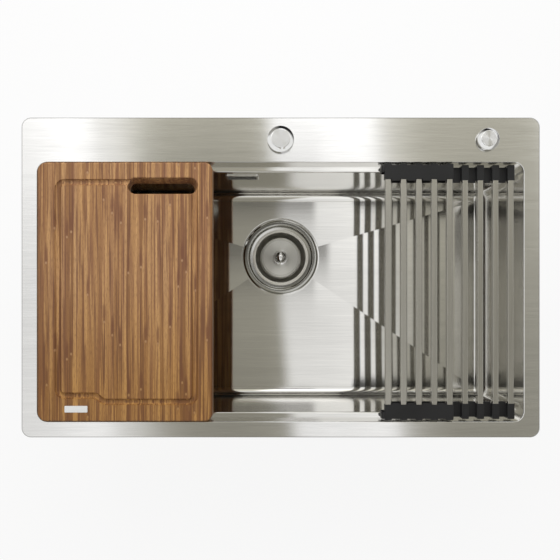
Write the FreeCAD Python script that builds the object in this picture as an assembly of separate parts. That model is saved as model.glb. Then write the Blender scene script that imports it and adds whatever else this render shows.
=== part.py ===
import FreeCAD, Part
import math
import os

# Workstation kitchen sink. Millimetres, +Z up, +X to the right, +Y to the rear.
# The origin is the middle of the bowl's mouth, on the worktop's top surface.

# ---- Deck plate and mouth ----
DECK_W = 810.0  # left to right
DECK_D = 500.0  # front to rear
DECK_T = 3.0
DECK_R = 15.0  # outer corners
DECK_EDGE_R = 1.3  # rounding of the rim and of the mouth's edge
MOUTH_R = 16.0
SIDE_FLANGE = 25.0  # deck beside the mouth
FRONT_FLANGE = 25.0  # deck in front of the mouth
REAR_FLANGE = 70.0  # deck behind the mouth, with the tap holes
RIM_SEAL_T = 1.0
RIM_SEAL_INSET = 2.0  # from the deck's edge
CUTOUT_INSET = 10.0  # worktop cutout's edge, from the deck's edge

# ---- Bowl ----
SHEET_T = 1.2
LEDGE_DROP = 20.0  # deck top down to the ledge
LEDGE_W = 12.0
LEDGE_LIP_R = 2.5
BOWL_DEPTH = 230.0  # deck top down to the floor beside the walls
BOWL_R = 15.0  # upright corners below the ledge
FLOOR_R = 14.0  # wall to floor
FLOOR_RIM = 2.0  # flat strip between the floor's radius and its fall
FLOOR_FALL = 6.0  # how far the four facets fall to the drain
DRAIN_Y = 70.0  # drain behind the middle of the mouth
RECESS_R = 74.0
RECESS_DEPTH = 1.5

# ---- Strainer ----
FLANGE_R = 71.0
FLANGE_STEP_R = 61.0
FLANGE_STEP = 5.2
CUP_R = 50.0
CUP_DEPTH = 42.0
OUTLET_R = 26.0
HOLE_GAP = 1.3  # hole in the floor round the flange's step
DRAIN_SEAL_T = 1.5
LOWER_SEAL_T = 2.0
THREAD_GAP = 0.05
SPIN_R = 1.0  # rounding of spun edges
BASKET_R = 46.5
BASKET_SHEET = 1.0
BASKET_DEPTH = 27.0
BASKET_FOOT_R = 40.0
BASKET_LUG_W = 7.0
BASKET_LUG_REACH = 7.5  # beyond the basket's rim, onto the seat
BASKET_LIFT = 1.5  # rim above the seat, the lug's thickness
BASKET_HOLE_R = 2.0
HOLE_RINGS = ((13.0, 9), (20.0, 14), (27.0, 19), (34.0, 24))  # ring radius and how many holes
WALL_SLOTS = 20
WALL_SLOT_W = 3.0
WALL_SLOT_FOOT = 5.0  # above the basket's underside
WALL_SLOT_TOP = 8.0  # below its rim
BUSH_R = 7.0
BUSH_H = 12.0
STEM_R = 4.0
STEM_FIT = 0.08
STEM_FOOT_T = 2.5  # below the plug
LID_R = 38.0
LID_T = 1.2
LID_EDGE_R = 2.0
LID_SINK = 3.5  # lid below the basket's rim
LID_TRAVEL = 8.0
PLUG_R = 32.0
PLUG_T = 3.0
PLUG_REST = 0.2  # above the cup's floor when shut
KNOB_BASE_R = 13.7
KNOB_BASE_T = 3.0
KNOB_NECK_R = 4.5
KNOB_BALL_R = 11.5
KNOB_H = 15.5  # lid to the ball's middle

# ---- Waste below the cup ----
NUT_FLANGE_R = 73.0
NUT_FLANGE_T = 5.0
NUT_HUB_R = 60.0
NUT_H = 22.0
NUT_RIBS = 8
NUT_RIB_W = 6.0
BODY_GAP = 5.0  # nut to the waste body's collar
BODY_BOSS_LENGTH = 15.0
BODY_SEAL_T = 2.0
BODY_WALL = 3.5
COLLAR_WALL = 4.8
COLLAR_SHOULDER = 4.8
CHAMBER_R = 38.0
CHAMBER_H = 44.0
CONE_H = 12.0
TAIL_R = 23.9
TAIL_BORE_R = 20.5
TAIL_LENGTH = 26.0

# ---- Overflow ----
OVERFLOW_X = -63.0
OVERFLOW_TOP = 41.0  # deck top down to the frame's upper edge
FRAME_W = 54.0
FRAME_H = 36.0
FRAME_BORDER = 4.0
FRAME_PROUD = 2.0
FRAME_R = 3.0
COLLAR_T = 1.0
COLLAR_DEPTH = 11.0
COLLAR_FIT = 0.3
GASKET_T = 2.0
GASKET_BAND = 8.0
HOUSING_FLANGE_T = 3.0
HOUSING_DEPTH = 36.0
HOUSING_WALL = 2.0
HOUSING_SIDE = 4.0  # housing's room beyond the frame's opening
TONGUE_W = 12.0
TONGUE_T = 1.0
BOSS_R = 14.0
BOSS_LENGTH = 10.0
SPIGOT_R = 9.9
SPIGOT_BORE_R = 7.5
SPIGOT_LENGTH = 18.0
HOSE_R = 12.5
HOSE_FIT = 0.1
HOSE_GAP = 0.3  # hose end to its boss
HOSE_BEND_R = 50.0
HOSE_NUT_R = 17.5
HOSE_NUT_GRIP = 8.0
SPIGOT_RISE = 19.0  # spigot's axis above the waste chamber's foot

# ---- Hole covers on the rear deck ----
TAP_X = 0.0
TAP_HOLE_R = 17.5
TAP_COVER_R = 20.75
TAP_BUTTON_R = 15.5
ACCESSORY_INSET = 82.0  # from the deck's right edge
ACCESSORY_HOLE_R = 14.0
ACCESSORY_COVER_R = 17.25
ACCESSORY_BUTTON_R = 13.0
COVER_STEP_H = 4.0
COVER_H = 10.0
COVER_EDGE_R = 1.6
COVER_SEAL_T = 1.0
COVER_SEAL_INSET = 1.2
COVER_STUD_R = 4.0
COVER_STUD_LENGTH = 36.0
WASHER_OVERLAP = 4.5
WASHER_T = 2.0
WING_HUB_R = 8.0
WING_HUB_H = 9.0
WING_SPAN = 36.0
WING_T = 3.0
WING_H = 14.0
STUD_FIT = 0.15

# ---- Clips under the deck ----
BRACKET_LENGTH = 44.0
BRACKET_BACK = 12.0  # bracket's web, inward of the cutout's edge
BRACKET_H = 11.2
BRACKET_FOOT = 9.0
BRACKET_LIP_H = 2.5
CLIP_W = 18.0
CLIP_T = 1.5
CLIP_GAP = 0.5
CLIP_RISE = 2.3  # clip's hook above the bracket's lip
WORKTOP_T = 30.0
CLIP_DROP = 12.0  # clip's foot below the worktop
CLIP_REACH = 9.5  # clip's foot beyond the cutout's edge
SCREW_R = 2.5
SCREW_REACH = 4.7
SCREW_TAIL = 12.0
SCREW_PAD_R = 3.8
SCREW_PAD_T = 2.0
END_CLIP_INSET = 115.0  # outermost front and rear clips, from the deck's ends
SIDE_CLIP_INSET = 102.5  # side clips, from the mouth's front and rear
CLIP_LEFT_OF_TAP = 110.0
CLIP_RIGHT_OF_TAP = 160.0

# ---- Sound pads ----
PAD_T = 3.0
PAD_TOP = 64.0  # below the deck top
REAR_PAD_TOP = 114.0
PAD_FOOT = 36.0  # above the floor
SIDE_PAD_MARGIN = 60.0  # pads' ends, from the bowl's corners
LONG_PAD_MARGIN = 130.0
FLOOR_PAD_MARGIN = 30.0
FLOOR_PAD_INNER = 100.0
FRONT_FLOOR_PAD_W = 160.0

# ---- Cutting board ----
BOARD_W = 272.0
BOARD_T = 25.0
BOARD_GAP = 1.0  # to the front and rear walls
BOARD_SIDE_GAP = 1.5
BOARD_R_LEFT = 14.0
BOARD_R_RIGHT = 12.0
BOARD_EDGE_R = 2.5
SLOT_LENGTH = 109.0
SLOT_W = 25.0
SLOT_RIGHT = 22.5  # slot's end from the board's right edge
SLOT_REAR = 24.0  # slot's rear side from the board's rear edge
SLOT_SLOPE_REAR = 6.0  # how far the slot's rear wall leans in towards its foot
SLOT_SLOPE_RIGHT = 8.0
SLOT_EDGE_R = 2.0
GROOVE_W = 10.0
GROOVE_DEPTH = 4.0
GROOVE_LEFT = 32.0
GROOVE_REAR = 31.0
GROOVE_RIGHT = 27.0
GROOVE_FRONT = 40.0
GROOVE_JOG = 9.5
GROOVE_JOG_X = 91.0  # jog's start from the board's left edge
GROOVE_JOG_RUN = 13.0
GROOVE_TURN_R = 10.0
NAME_PLATE_W = 35.7
NAME_PLATE_D = 10.3
NAME_PLATE_T = 1.0
NAME_PLATE_PROUD = 0.3
NAME_PLATE_R = 1.2
NAME_PLATE_LEFT = 42.5
NAME_PLATE_FRONT = 13.9

# ---- Roll-up rack ----
ROD_SIDE = 9.0
ROD_WALL = 0.8
ROD_CORNER_R = 1.0
ROD_PITCH = 24.0
LOWER_RODS = 9
UPPER_RODS = 5
RACK_GAP = 2.5  # strips to the front and rear walls
RACK_RIGHT_GAP = 11.5
STRIP_W = 24.0
STRIP_BAND = 1.5
STRIP_COVER = 0.65
STRIP_SIDE = 1.0  # silicone beside a rod
STRIP_END = 1.0  # silicone over a rod's end
STRIP_WEB_INSET = 2.0  # web's outer edge, in from the blocks' ends
STRIP_WEB_REACH = 2.5  # web's inner edge, beyond the blocks
LAYER_GAP = 0.3
ROD_FIT = 0.05
FLAP_SHIFT = 3.0  # folded layer, to the left of the rods below it
FOLD_REACH = 5.3  # fold's loop, beyond the folded layer's end
FOLD_LOOP_R = 5.0
FOLD_LOOP_W = 11.0

# ---- Sizes worked out from the above ----
SEAT_Z = 0.0
DECK_Z = RIM_SEAL_T  # deck's underside
TOP_Z = DECK_Z + DECK_T
MOUTH_W = DECK_W - 2 * SIDE_FLANGE
MOUTH_D = DECK_D - FRONT_FLANGE - REAR_FLANGE
DECK_Y = (REAR_FLANGE - FRONT_FLANGE) / 2
REAR_DECK_Y = (MOUTH_D + REAR_FLANGE) / 2
ACCESSORY_X = DECK_W / 2 - ACCESSORY_INSET
LEDGE_Z = TOP_Z - LEDGE_DROP
WALL_D = MOUTH_D - 2 * LEDGE_W
FLOOR_Z = TOP_Z - BOWL_DEPTH
DRAIN = (0.0, DRAIN_Y)
RECESS_Z = FLOOR_Z - FLOOR_FALL - RECESS_DEPTH
FLANGE_Z = RECESS_Z + DRAIN_SEAL_T
RING_Z = FLANGE_Z + SHEET_T
STRAINER_SEAT_Z = RING_Z - FLANGE_STEP
CUP_Z = STRAINER_SEAT_Z - CUP_DEPTH
DRAIN_HOLE_R = FLANGE_STEP_R + SHEET_T + HOLE_GAP
NUT_Z = RECESS_Z - SHEET_T - LOWER_SEAL_T
RIM_Z = STRAINER_SEAT_Z + BASKET_LIFT
LID_Z = RIM_Z - LID_SINK
BASKET_Z = RIM_Z - BASKET_DEPTH
PLUG_Z = CUP_Z + PLUG_REST + LID_TRAVEL
COLLAR_Z = NUT_Z - NUT_H - BODY_GAP
SHOULDER_Z = CUP_Z - SHEET_T - BODY_SEAL_T
CHAMBER_Z = SHOULDER_Z - CHAMBER_H
TAIL_Z = CHAMBER_Z - CONE_H
SPIGOT_Z = CHAMBER_Z + SPIGOT_RISE
FRAME_Z = TOP_Z - OVERFLOW_TOP - FRAME_H / 2
REAR_WALL_Y = WALL_D / 2
WALL_BACK_Y = REAR_WALL_Y + SHEET_T
HOUSING_Y = WALL_BACK_Y + GASKET_T
BOARD_X = -MOUTH_W / 2 + BOARD_SIDE_GAP + BOARD_W / 2
BOARD_D = MOUTH_D - 2 * BOARD_GAP
BOARD_TOP = LEDGE_Z + BOARD_T
BLOCK_W = ROD_SIDE + 2 * STRIP_SIDE
RACK_D = MOUTH_D - 2 * RACK_GAP
ROD_LENGTH = RACK_D - 2 * STRIP_END
LAYER_H = STRIP_BAND + ROD_SIDE + STRIP_COVER
FOLD_Z = LEDGE_Z + LAYER_H + LAYER_GAP / 2
FIRST_ROD_X = MOUTH_W / 2 - RACK_RIGHT_GAP - BLOCK_W / 2
LAST_ROD_X = FIRST_ROD_X - (LOWER_RODS - 1) * ROD_PITCH
FLAP_ROD_X = LAST_ROD_X - FLAP_SHIFT
FOLD_X = (LAST_ROD_X + FLAP_ROD_X - ROD_PITCH) / 2  # the flap unrolls about this line

V = FreeCAD.Vector
UP = V(0, 0, 1)


# ---- Shapes used by more than one piece ----
def corner_point(x, y, r, z):
    """The middle of a rounded corner whose sharp corner would be at x, y."""
    inset = r * (1 - math.sqrt(0.5))
    return V(x - math.copysign(inset, x), y - math.copysign(inset, y), z)


def outline(width, depth, radii, z=0.0):
    """A rectangle about the origin; radii go round from front left."""
    x = width / 2
    y = depth / 2
    front_left, front_right, rear_right, rear_left = radii
    edges = [
        Part.LineSegment(V(front_left - x, -y, z), V(x - front_right, -y, z)),
        Part.Arc(V(x - front_right, -y, z), corner_point(x, -y, front_right, z), V(x, front_right - y, z)),
        Part.LineSegment(V(x, front_right - y, z), V(x, y - rear_right, z)),
        Part.Arc(V(x, y - rear_right, z), corner_point(x, y, rear_right, z), V(x - rear_right, y, z)),
        Part.LineSegment(V(x - rear_right, y, z), V(rear_left - x, y, z)),
        Part.Arc(V(rear_left - x, y, z), corner_point(-x, y, rear_left, z), V(-x, y - rear_left, z)),
        Part.LineSegment(V(-x, y - rear_left, z), V(-x, front_left - y, z)),
        Part.Arc(V(-x, front_left - y, z), corner_point(-x, -y, front_left, z), V(front_left - x, -y, z)),
    ]
    return Part.Wire([edge.toShape() for edge in edges])


def block(width, depth, radius, z0, z1, at=(0.0, 0.0)):
    """An upright block with rounded upright edges."""
    solid = Part.Face(outline(width, depth, [radius] * 4, z0)).extrude(UP * (z1 - z0))
    solid.translate(V(at[0], at[1], 0))
    return solid


def box(x0, x1, y0, y1, z0, z1):
    """A box between two corners, in any order."""
    low = V(min(x0, x1), min(y0, y1), min(z0, z1))
    return Part.makeBox(abs(x1 - x0), abs(y1 - y0), abs(z1 - z0), low)


def rod(radius, z0, z1, at=(0.0, 0.0)):
    """An upright cylinder."""
    return Part.makeCylinder(radius, z1 - z0, V(at[0], at[1], z0))


def ring(outer, inner, z0, z1, at=(0.0, 0.0)):
    """An upright ring."""
    return rod(outer, z0, z1, at).cut(rod(inner, z0, z1, at))


def spun(profile, at=(0.0, 0.0)):
    """A closed profile of (radius, height) points, turned about an upright axis."""
    points = [V(r, 0, z) for r, z in profile]
    face = Part.Face(Part.makePolygon(points + points[:1]))
    solid = face.revolve(V(0, 0, 0), UP, 360)
    solid.translate(V(at[0], at[1], 0))
    return solid


def profile_bar(profile, length):
    """A closed profile of (x, z) points, drawn out along Y about the middle."""
    points = [V(x, -length / 2, z) for x, z in profile]
    face = Part.Face(Part.makePolygon(points + points[:1]))
    return face.extrude(V(0, length, 0))


def circles(shape, radius, z):
    """The shape's full circular edges of one radius at one height."""
    found = []
    for edge in shape.Edges:
        if isinstance(edge.Curve, Part.Circle) and abs(edge.Curve.Radius - radius) < 0.01:
            if abs(edge.Curve.Center.z - z) < 0.01:
                found.append(edge)
    return found


def level_edges(shape, z):
    """The shape's edges that lie at one height."""
    return [e for e in shape.Edges if abs(e.BoundBox.ZMin - z) + abs(e.BoundBox.ZMax - z) < 0.001]


def path_of(points, radii):
    """Straight runs joined by tangent arcs; each inner point has its radius."""
    edges = []
    start = points[0]
    for before, corner, after, radius in zip(points, points[1:], points[2:], radii):
        back = (before - corner).normalize()
        ahead = (after - corner).normalize()
        half = back.getAngle(ahead) / 2
        reach = radius / math.tan(half)
        entry = corner + back * reach
        leave = corner + ahead * reach
        middle = (back + ahead).normalize()
        crown = corner + middle * (radius / math.sin(half) - radius)
        edges.append(Part.LineSegment(start, entry).toShape())
        edges.append(Part.Arc(entry, crown, leave).toShape())
        start = leave
    edges.append(Part.LineSegment(start, points[-1]).toShape())
    return Part.Wire(edges)


def swept_round(path, radius):
    """A round bar along a path."""
    first = path.Edges[0]
    start = first.valueAt(first.FirstParameter)
    along = first.tangentAt(first.FirstParameter)
    circle = Part.Wire(Part.Circle(start, along, radius).toShape())
    return path.makePipeShell([circle], True, False)


def export(name, pieces):
    """Write one node, from one solid or a list of separate solids."""
    shape = Part.makeCompound(pieces) if isinstance(pieces, list) else pieces
    shape.exportStep("parts/" + name + ".step")


# ---- Deck plate, seal and bowl ----
def deck_plate():
    plate = block(DECK_W, DECK_D, DECK_R, DECK_Z, TOP_Z, (0, DECK_Y))
    plate = plate.cut(block(MOUTH_W, MOUTH_D, MOUTH_R, DECK_Z, TOP_Z))
    plate = plate.makeFillet(DECK_EDGE_R, level_edges(plate, TOP_Z))
    plate = plate.cut(rod(TAP_HOLE_R, DECK_Z, TOP_Z, (TAP_X, REAR_DECK_Y)))
    return plate.cut(rod(ACCESSORY_HOLE_R, DECK_Z, TOP_Z, (ACCESSORY_X, REAR_DECK_Y)))


def rim_seal():
    """A flat seal between the deck's edge and the worktop."""
    outer = RIM_SEAL_INSET
    inner = CUTOUT_INSET
    at = (0, DECK_Y)
    band = block(DECK_W - 2 * outer, DECK_D - 2 * outer, DECK_R - outer, SEAT_Z, DECK_Z, at)
    return band.cut(block(DECK_W - 2 * inner, DECK_D - 2 * inner, DECK_R - inner, SEAT_Z, DECK_Z, at))


def floor_pit(drop):
    """The four facets that fall from the bowl's floor to the drain, lowered by drop."""
    x = MOUTH_W / 2 - FLOOR_R - FLOOR_RIM
    y = WALL_D / 2 - FLOOR_R - FLOOR_RIM
    z = FLOOR_Z - drop
    corners = [V(-x, -y, z), V(x, -y, z), V(x, y, z), V(-x, y, z)]
    lowest = V(0, DRAIN_Y, z - FLOOR_FALL)
    faces = [Part.Face(Part.makePolygon(corners + corners[:1]))]
    for first, second in zip(corners, corners[1:] + corners[:1]):
        faces.append(Part.Face(Part.makePolygon([first, second, lowest, first])))
    return Part.Solid(Part.Shell(faces))


def lip_rounding(radius, grow):
    """The bar between the sharp edge of a ledge and its rounding, for the rear ledge."""
    length = MOUTH_W - 2 * BOWL_R
    y = REAR_WALL_Y + grow
    z = LEDGE_Z - grow
    corner = box(-length / 2, length / 2, y, y + radius, z - radius, z)
    turn = Part.makeCylinder(radius, length, V(-length / 2, y + radius, z - radius), V(1, 0, 0))
    return corner.cut(turn)


def bowl_room(grow, top):
    """The room in the bowl, grown by one amount to the sides and down."""
    wide = block(MOUTH_W + 2 * grow, MOUTH_D + 2 * grow, MOUTH_R + grow, LEDGE_Z - grow, top)
    deep = block(MOUTH_W + 2 * grow, WALL_D + 2 * grow, BOWL_R + grow, FLOOR_Z - grow, LEDGE_Z - grow)
    deep = deep.makeFillet(FLOOR_R + grow, level_edges(deep, FLOOR_Z - grow))
    lip = lip_rounding(LEDGE_LIP_R - grow, grow)
    front_lip = lip.mirror(V(0, 0, 0), V(0, 1, 0))
    recess = rod(RECESS_R + grow, RECESS_Z - grow, FLOOR_Z - grow, (0, DRAIN_Y))
    return wide.multiFuse([deep, lip, front_lip, floor_pit(grow), recess]).removeSplitter()


def overflow_window(grow, y0, y1, radius=FRAME_R):
    """A block through the rear wall at the overflow, grown all round its opening."""
    width = FRAME_W - 2 * FRAME_BORDER + 2 * grow
    height = FRAME_H - 2 * FRAME_BORDER + 2 * grow
    window = Part.Face(outline(width, height, [radius] * 4)).extrude(UP * (y1 - y0))
    window.rotate(V(0, 0, 0), V(1, 0, 0), -90)
    window.translate(V(OVERFLOW_X, y0, FRAME_Z))
    return window


def bowl_body():
    bowl = bowl_room(SHEET_T, DECK_Z).cut(bowl_room(0, TOP_Z))
    bowl = bowl.cut(rod(DRAIN_HOLE_R, RECESS_Z - SHEET_T, FLOOR_Z, (0, DRAIN_Y)))
    hole = overflow_window(COLLAR_T + COLLAR_FIT, REAR_WALL_Y, WALL_BACK_Y)
    return bowl.cut(hole)


def floor_pads():
    """Three damping pads that follow the facets' underside."""
    x_out = MOUTH_W / 2 - FLOOR_R - FLOOR_PAD_MARGIN
    y_out = WALL_D / 2 - FLOOR_R - FLOOR_PAD_MARGIN
    y_in = DRAIN_Y - FLOOR_PAD_INNER
    low = FLOOR_Z - FLOOR_FALL - 2 * SHEET_T - PAD_T
    under = floor_pit(SHEET_T + PAD_T)
    slab = box(-x_out, x_out, -y_out, y_out, FLOOR_Z - SHEET_T - PAD_T, FLOOR_Z - SHEET_T)
    layer = slab.fuse(under).cut(floor_pit(SHEET_T))
    places = [
        box(-x_out, -FLOOR_PAD_INNER, -y_out, y_out, low, FLOOR_Z),
        box(FLOOR_PAD_INNER, x_out, -y_out, y_out, low, FLOOR_Z),
        box(-FRONT_FLOOR_PAD_W / 2, FRONT_FLOOR_PAD_W / 2, -y_out, y_in, low, FLOOR_Z),
    ]
    return [layer.common(place) for place in places]


def wall_pads():
    """Damping pads on the outside of the four walls."""
    x = MOUTH_W / 2 + SHEET_T
    z0 = FLOOR_Z + PAD_FOOT
    z1 = TOP_Z - PAD_TOP
    rear_z1 = TOP_Z - REAR_PAD_TOP
    side = WALL_D / 2 - SIDE_PAD_MARGIN
    front = MOUTH_W / 2 - LONG_PAD_MARGIN
    return [
        box(-x - PAD_T, -x, -side, side, z0, z1),
        box(x, x + PAD_T, -side, side, z0, z1),
        box(-front, front, -WALL_BACK_Y - PAD_T, -WALL_BACK_Y, z0, z1),
        box(-front, front, WALL_BACK_Y, WALL_BACK_Y + PAD_T, z0, rear_z1),
    ]


# ---- Clips that draw the deck down on the worktop ----
def bracket():
    """A short channel under the deck; x is measured outward from the cutout's edge."""
    back = -BRACKET_BACK
    web = back + SHEET_T
    end = back + BRACKET_FOOT
    low = DECK_Z - BRACKET_H
    profile = [
        (back, DECK_Z), (end, DECK_Z), (end, DECK_Z - SHEET_T), (web, DECK_Z - SHEET_T),
        (web, low + SHEET_T), (end - SHEET_T, low + SHEET_T), (end - SHEET_T, low + BRACKET_LIP_H + SHEET_T),
        (end, low + BRACKET_LIP_H + SHEET_T), (end, low), (back, low),
    ]
    return profile_bar(profile, BRACKET_LENGTH)


def clip():
    """A strip hooked over the bracket's lip, with its foot out below the worktop."""
    lip_out = -BRACKET_BACK + BRACKET_FOOT
    lip_in = lip_out - SHEET_T
    lip_top = DECK_Z - BRACKET_H + SHEET_T + BRACKET_LIP_H
    hook_top = lip_top + CLIP_RISE
    tail = DECK_Z - BRACKET_H + SHEET_T + CLIP_GAP
    leg_in = lip_out + CLIP_GAP
    leg_out = leg_in + CLIP_T
    foot_top = SEAT_Z - WORKTOP_T - CLIP_DROP
    hook_in = lip_in - CLIP_GAP - CLIP_T
    profile = [
        (hook_in, tail), (hook_in, hook_top), (leg_out, hook_top), (leg_out, foot_top),
        (CLIP_REACH, foot_top), (CLIP_REACH, foot_top - CLIP_T), (leg_in, foot_top - CLIP_T),
        (leg_in, hook_top - CLIP_T), (hook_in + CLIP_T, hook_top - CLIP_T), (hook_in + CLIP_T, tail),
    ]
    strip = profile_bar(profile, CLIP_W)
    return strip.cut(rod(SCREW_R + THREAD_GAP, foot_top - CLIP_T, foot_top, (SCREW_REACH, 0)))


def clip_screw():
    """A screw through the clip's foot, with a pad against the worktop's underside."""
    under = SEAT_Z - WORKTOP_T
    shank = rod(SCREW_R, under - CLIP_DROP - CLIP_T - SCREW_TAIL, under - SCREW_PAD_T, (SCREW_REACH, 0))
    pad = rod(SCREW_PAD_R, under - SCREW_PAD_T, under, (SCREW_REACH, 0))
    foot = under - CLIP_DROP - CLIP_T - SCREW_TAIL
    driver = Part.makeBox(2 * SCREW_R, SCREW_R / 2, SCREW_R, V(SCREW_REACH - SCREW_R, -SCREW_R / 4, foot))
    return shank.fuse(pad).removeSplitter().cut(driver)


def round_the_rim(piece):
    """Copies of a piece at every clip place on the four sides."""
    cut_x = DECK_W / 2 - CUTOUT_INSET
    cut_y = DECK_D / 2 - CUTOUT_INSET
    end_x = DECK_W / 2 - END_CLIP_INSET
    side_y = MOUTH_D / 2 - SIDE_CLIP_INSET
    rear_clips = (-end_x, TAP_X - CLIP_LEFT_OF_TAP, TAP_X + CLIP_RIGHT_OF_TAP)
    places = [(0, cut_x, -side_y), (0, cut_x, side_y), (180, -cut_x, -side_y), (180, -cut_x, side_y)]
    places += [(90, x, DECK_Y + cut_y) for x in rear_clips]
    places += [(-90, x, DECK_Y - cut_y) for x in (-end_x, 0, end_x)]
    copies = []
    for turn, x, y in places:
        copy = piece.copy()
        copy.rotate(V(0, 0, 0), UP, turn)
        copy.translate(V(x, y, 0))
        copies.append(copy)
    return copies


# ---- Strainer, basket and lid ----
def strainer_flange():
    """A spun ring, step, seat and cup in one sheet."""
    t = SHEET_T
    profile = [
        (FLANGE_R, FLANGE_Z), (FLANGE_R, RING_Z), (FLANGE_STEP_R, RING_Z),
        (FLANGE_STEP_R, STRAINER_SEAT_Z), (CUP_R, STRAINER_SEAT_Z), (CUP_R, CUP_Z),
        (OUTLET_R, CUP_Z), (OUTLET_R, CUP_Z - t), (CUP_R + t, CUP_Z - t),
        (CUP_R + t, STRAINER_SEAT_Z - t), (FLANGE_STEP_R + t, STRAINER_SEAT_Z - t),
        (FLANGE_STEP_R + t, FLANGE_Z),
    ]
    flange = spun(profile, DRAIN)
    edges = circles(flange, FLANGE_R, RING_Z) + circles(flange, FLANGE_STEP_R, RING_Z)
    edges += circles(flange, CUP_R, STRAINER_SEAT_Z)
    return flange.makeFillet(min(SPIN_R, 0.8 * t), edges)


def upper_seal():
    edge = FLANGE_R - SPIN_R / 2
    return ring(edge, DRAIN_HOLE_R + SPIN_R / 2, RECESS_Z, FLANGE_Z, DRAIN)


def lower_seal():
    return ring(NUT_FLANGE_R, DRAIN_HOLE_R, NUT_Z, RECESS_Z - SHEET_T, DRAIN)


def lock_nut():
    """A ribbed nut on the cup's thread, hollowed round the flange's seat."""
    bore = CUP_R + SHEET_T + THREAD_GAP
    nut = rod(NUT_FLANGE_R, NUT_Z - NUT_FLANGE_T, NUT_Z, DRAIN)
    nut = nut.fuse(rod(NUT_HUB_R, NUT_Z - NUT_H, NUT_Z, DRAIN))
    for i in range(NUT_RIBS):
        rib = box(NUT_HUB_R - SHEET_T, NUT_FLANGE_R - SHEET_T, -NUT_RIB_W / 2, NUT_RIB_W / 2,
                  NUT_Z - NUT_H, NUT_Z - NUT_FLANGE_T / 2)
        rib.rotate(V(0, 0, 0), UP, i * 360 / NUT_RIBS)
        rib.translate(V(0, DRAIN_Y, 0))
        nut = nut.fuse(rib)
    seat_z = STRAINER_SEAT_Z - SHEET_T - HOLE_GAP / 4
    nut = nut.cut(rod(FLANGE_STEP_R + SHEET_T + HOLE_GAP / 4, seat_z, NUT_Z, DRAIN))
    return nut.cut(rod(bore, NUT_Z - NUT_H, NUT_Z, DRAIN)).removeSplitter()


def basket_radius(z):
    """The basket's outer radius at a height, tapering to its foot."""
    return BASKET_FOOT_R + (BASKET_R - BASKET_FOOT_R) * (z - BASKET_Z) / BASKET_DEPTH


def strainer_basket():
    """A tapered cup with a drilled floor, slotted wall, flat rim, bush and two lugs."""
    s = BASKET_SHEET
    profile = [
        (BUSH_R, BASKET_Z), (BASKET_FOOT_R, BASKET_Z), (BASKET_R - s, RIM_Z - s), (BASKET_R, RIM_Z - s),
        (BASKET_R, RIM_Z), (BASKET_R - 2 * s, RIM_Z),
        (BASKET_FOOT_R - s, BASKET_Z + s), (BUSH_R, BASKET_Z + s),
        (BUSH_R, BASKET_Z + BUSH_H), (STEM_R + STEM_FIT, BASKET_Z + BUSH_H), (STEM_R + STEM_FIT, BASKET_Z),
    ]
    basket = spun(profile)
    cuts = []
    for radius, count in HOLE_RINGS:
        for i in range(count):
            turn = 2 * math.pi * i / count
            place = (radius * math.cos(turn), radius * math.sin(turn))
            cuts.append(rod(BASKET_HOLE_R, BASKET_Z, BASKET_Z + s, place))
    for i in range(WALL_SLOTS):
        slot = box(BASKET_FOOT_R - 3 * s, BASKET_R + s, -WALL_SLOT_W / 2, WALL_SLOT_W / 2,
                   BASKET_Z + WALL_SLOT_FOOT, RIM_Z - WALL_SLOT_TOP)
        slot.rotate(V(0, 0, 0), UP, (i + 0.5) * 360 / WALL_SLOTS)
        cuts.append(slot)
    basket = basket.cut(cuts)
    basket.translate(V(0, DRAIN_Y, 0))
    for side in (-1, 1):
        lug = box(-BASKET_LUG_W / 2, BASKET_LUG_W / 2, DRAIN_Y + side * (BASKET_R - 1.5 * s),
                  DRAIN_Y + side * (BASKET_R + BASKET_LUG_REACH), STRAINER_SEAT_Z, RIM_Z)
        basket = basket.fuse(lug)
    return basket.removeSplitter()


def stopper_plate():
    """The lid, a disc with a small turned-down edge and a hole for its stem."""
    depth = 3 * LID_T
    profile = [
        (STEM_R + STEM_FIT, LID_Z - LID_T), (LID_R - LID_T, LID_Z - LID_T), (LID_R - LID_T, LID_Z - depth),
        (LID_R, LID_Z - depth), (LID_R, LID_Z), (STEM_R + STEM_FIT, LID_Z),
    ]
    lid = spun(profile, DRAIN)
    return lid.makeFillet(LID_EDGE_R, circles(lid, LID_R, LID_Z))


def stopper_stem():
    """The rod from the knob, through lid and bush, to the plug, with a foot under it."""
    stem = rod(STEM_R, PLUG_Z, LID_Z + KNOB_BASE_T, DRAIN)
    foot = rod(2 * STEM_R, PLUG_Z - STEM_FOOT_T, PLUG_Z, DRAIN)
    collar = rod(1.6 * STEM_R, LID_Z - 2 * LID_T, LID_Z - LID_T, DRAIN)
    return stem.multiFuse([foot, collar]).removeSplitter()


def stopper_seal():
    """The rubber plug, drawn down onto the cup's floor round the outlet."""
    plug = ring(PLUG_R, STEM_R + STEM_FIT, PLUG_Z, PLUG_Z + PLUG_T, DRAIN)
    return plug.makeChamfer(PLUG_T / 3, circles(plug, PLUG_R, PLUG_Z + PLUG_T))


def stopper_knob():
    """A ball on a flared neck and a round base."""
    base = rod(KNOB_BASE_R, LID_Z, LID_Z + KNOB_BASE_T, DRAIN)
    base = base.makeFillet(KNOB_BASE_T / 3, circles(base, KNOB_BASE_R, LID_Z + KNOB_BASE_T))
    middle = LID_Z + KNOB_H
    neck = rod(KNOB_NECK_R, LID_Z + KNOB_BASE_T / 2, middle, DRAIN)
    ball = Part.makeSphere(KNOB_BALL_R, V(0, DRAIN_Y, middle))
    knob = base.multiFuse([neck, ball]).removeSplitter()
    return knob.cut(rod(STEM_R + STEM_FIT, LID_Z, LID_Z + KNOB_BASE_T, DRAIN))


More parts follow.
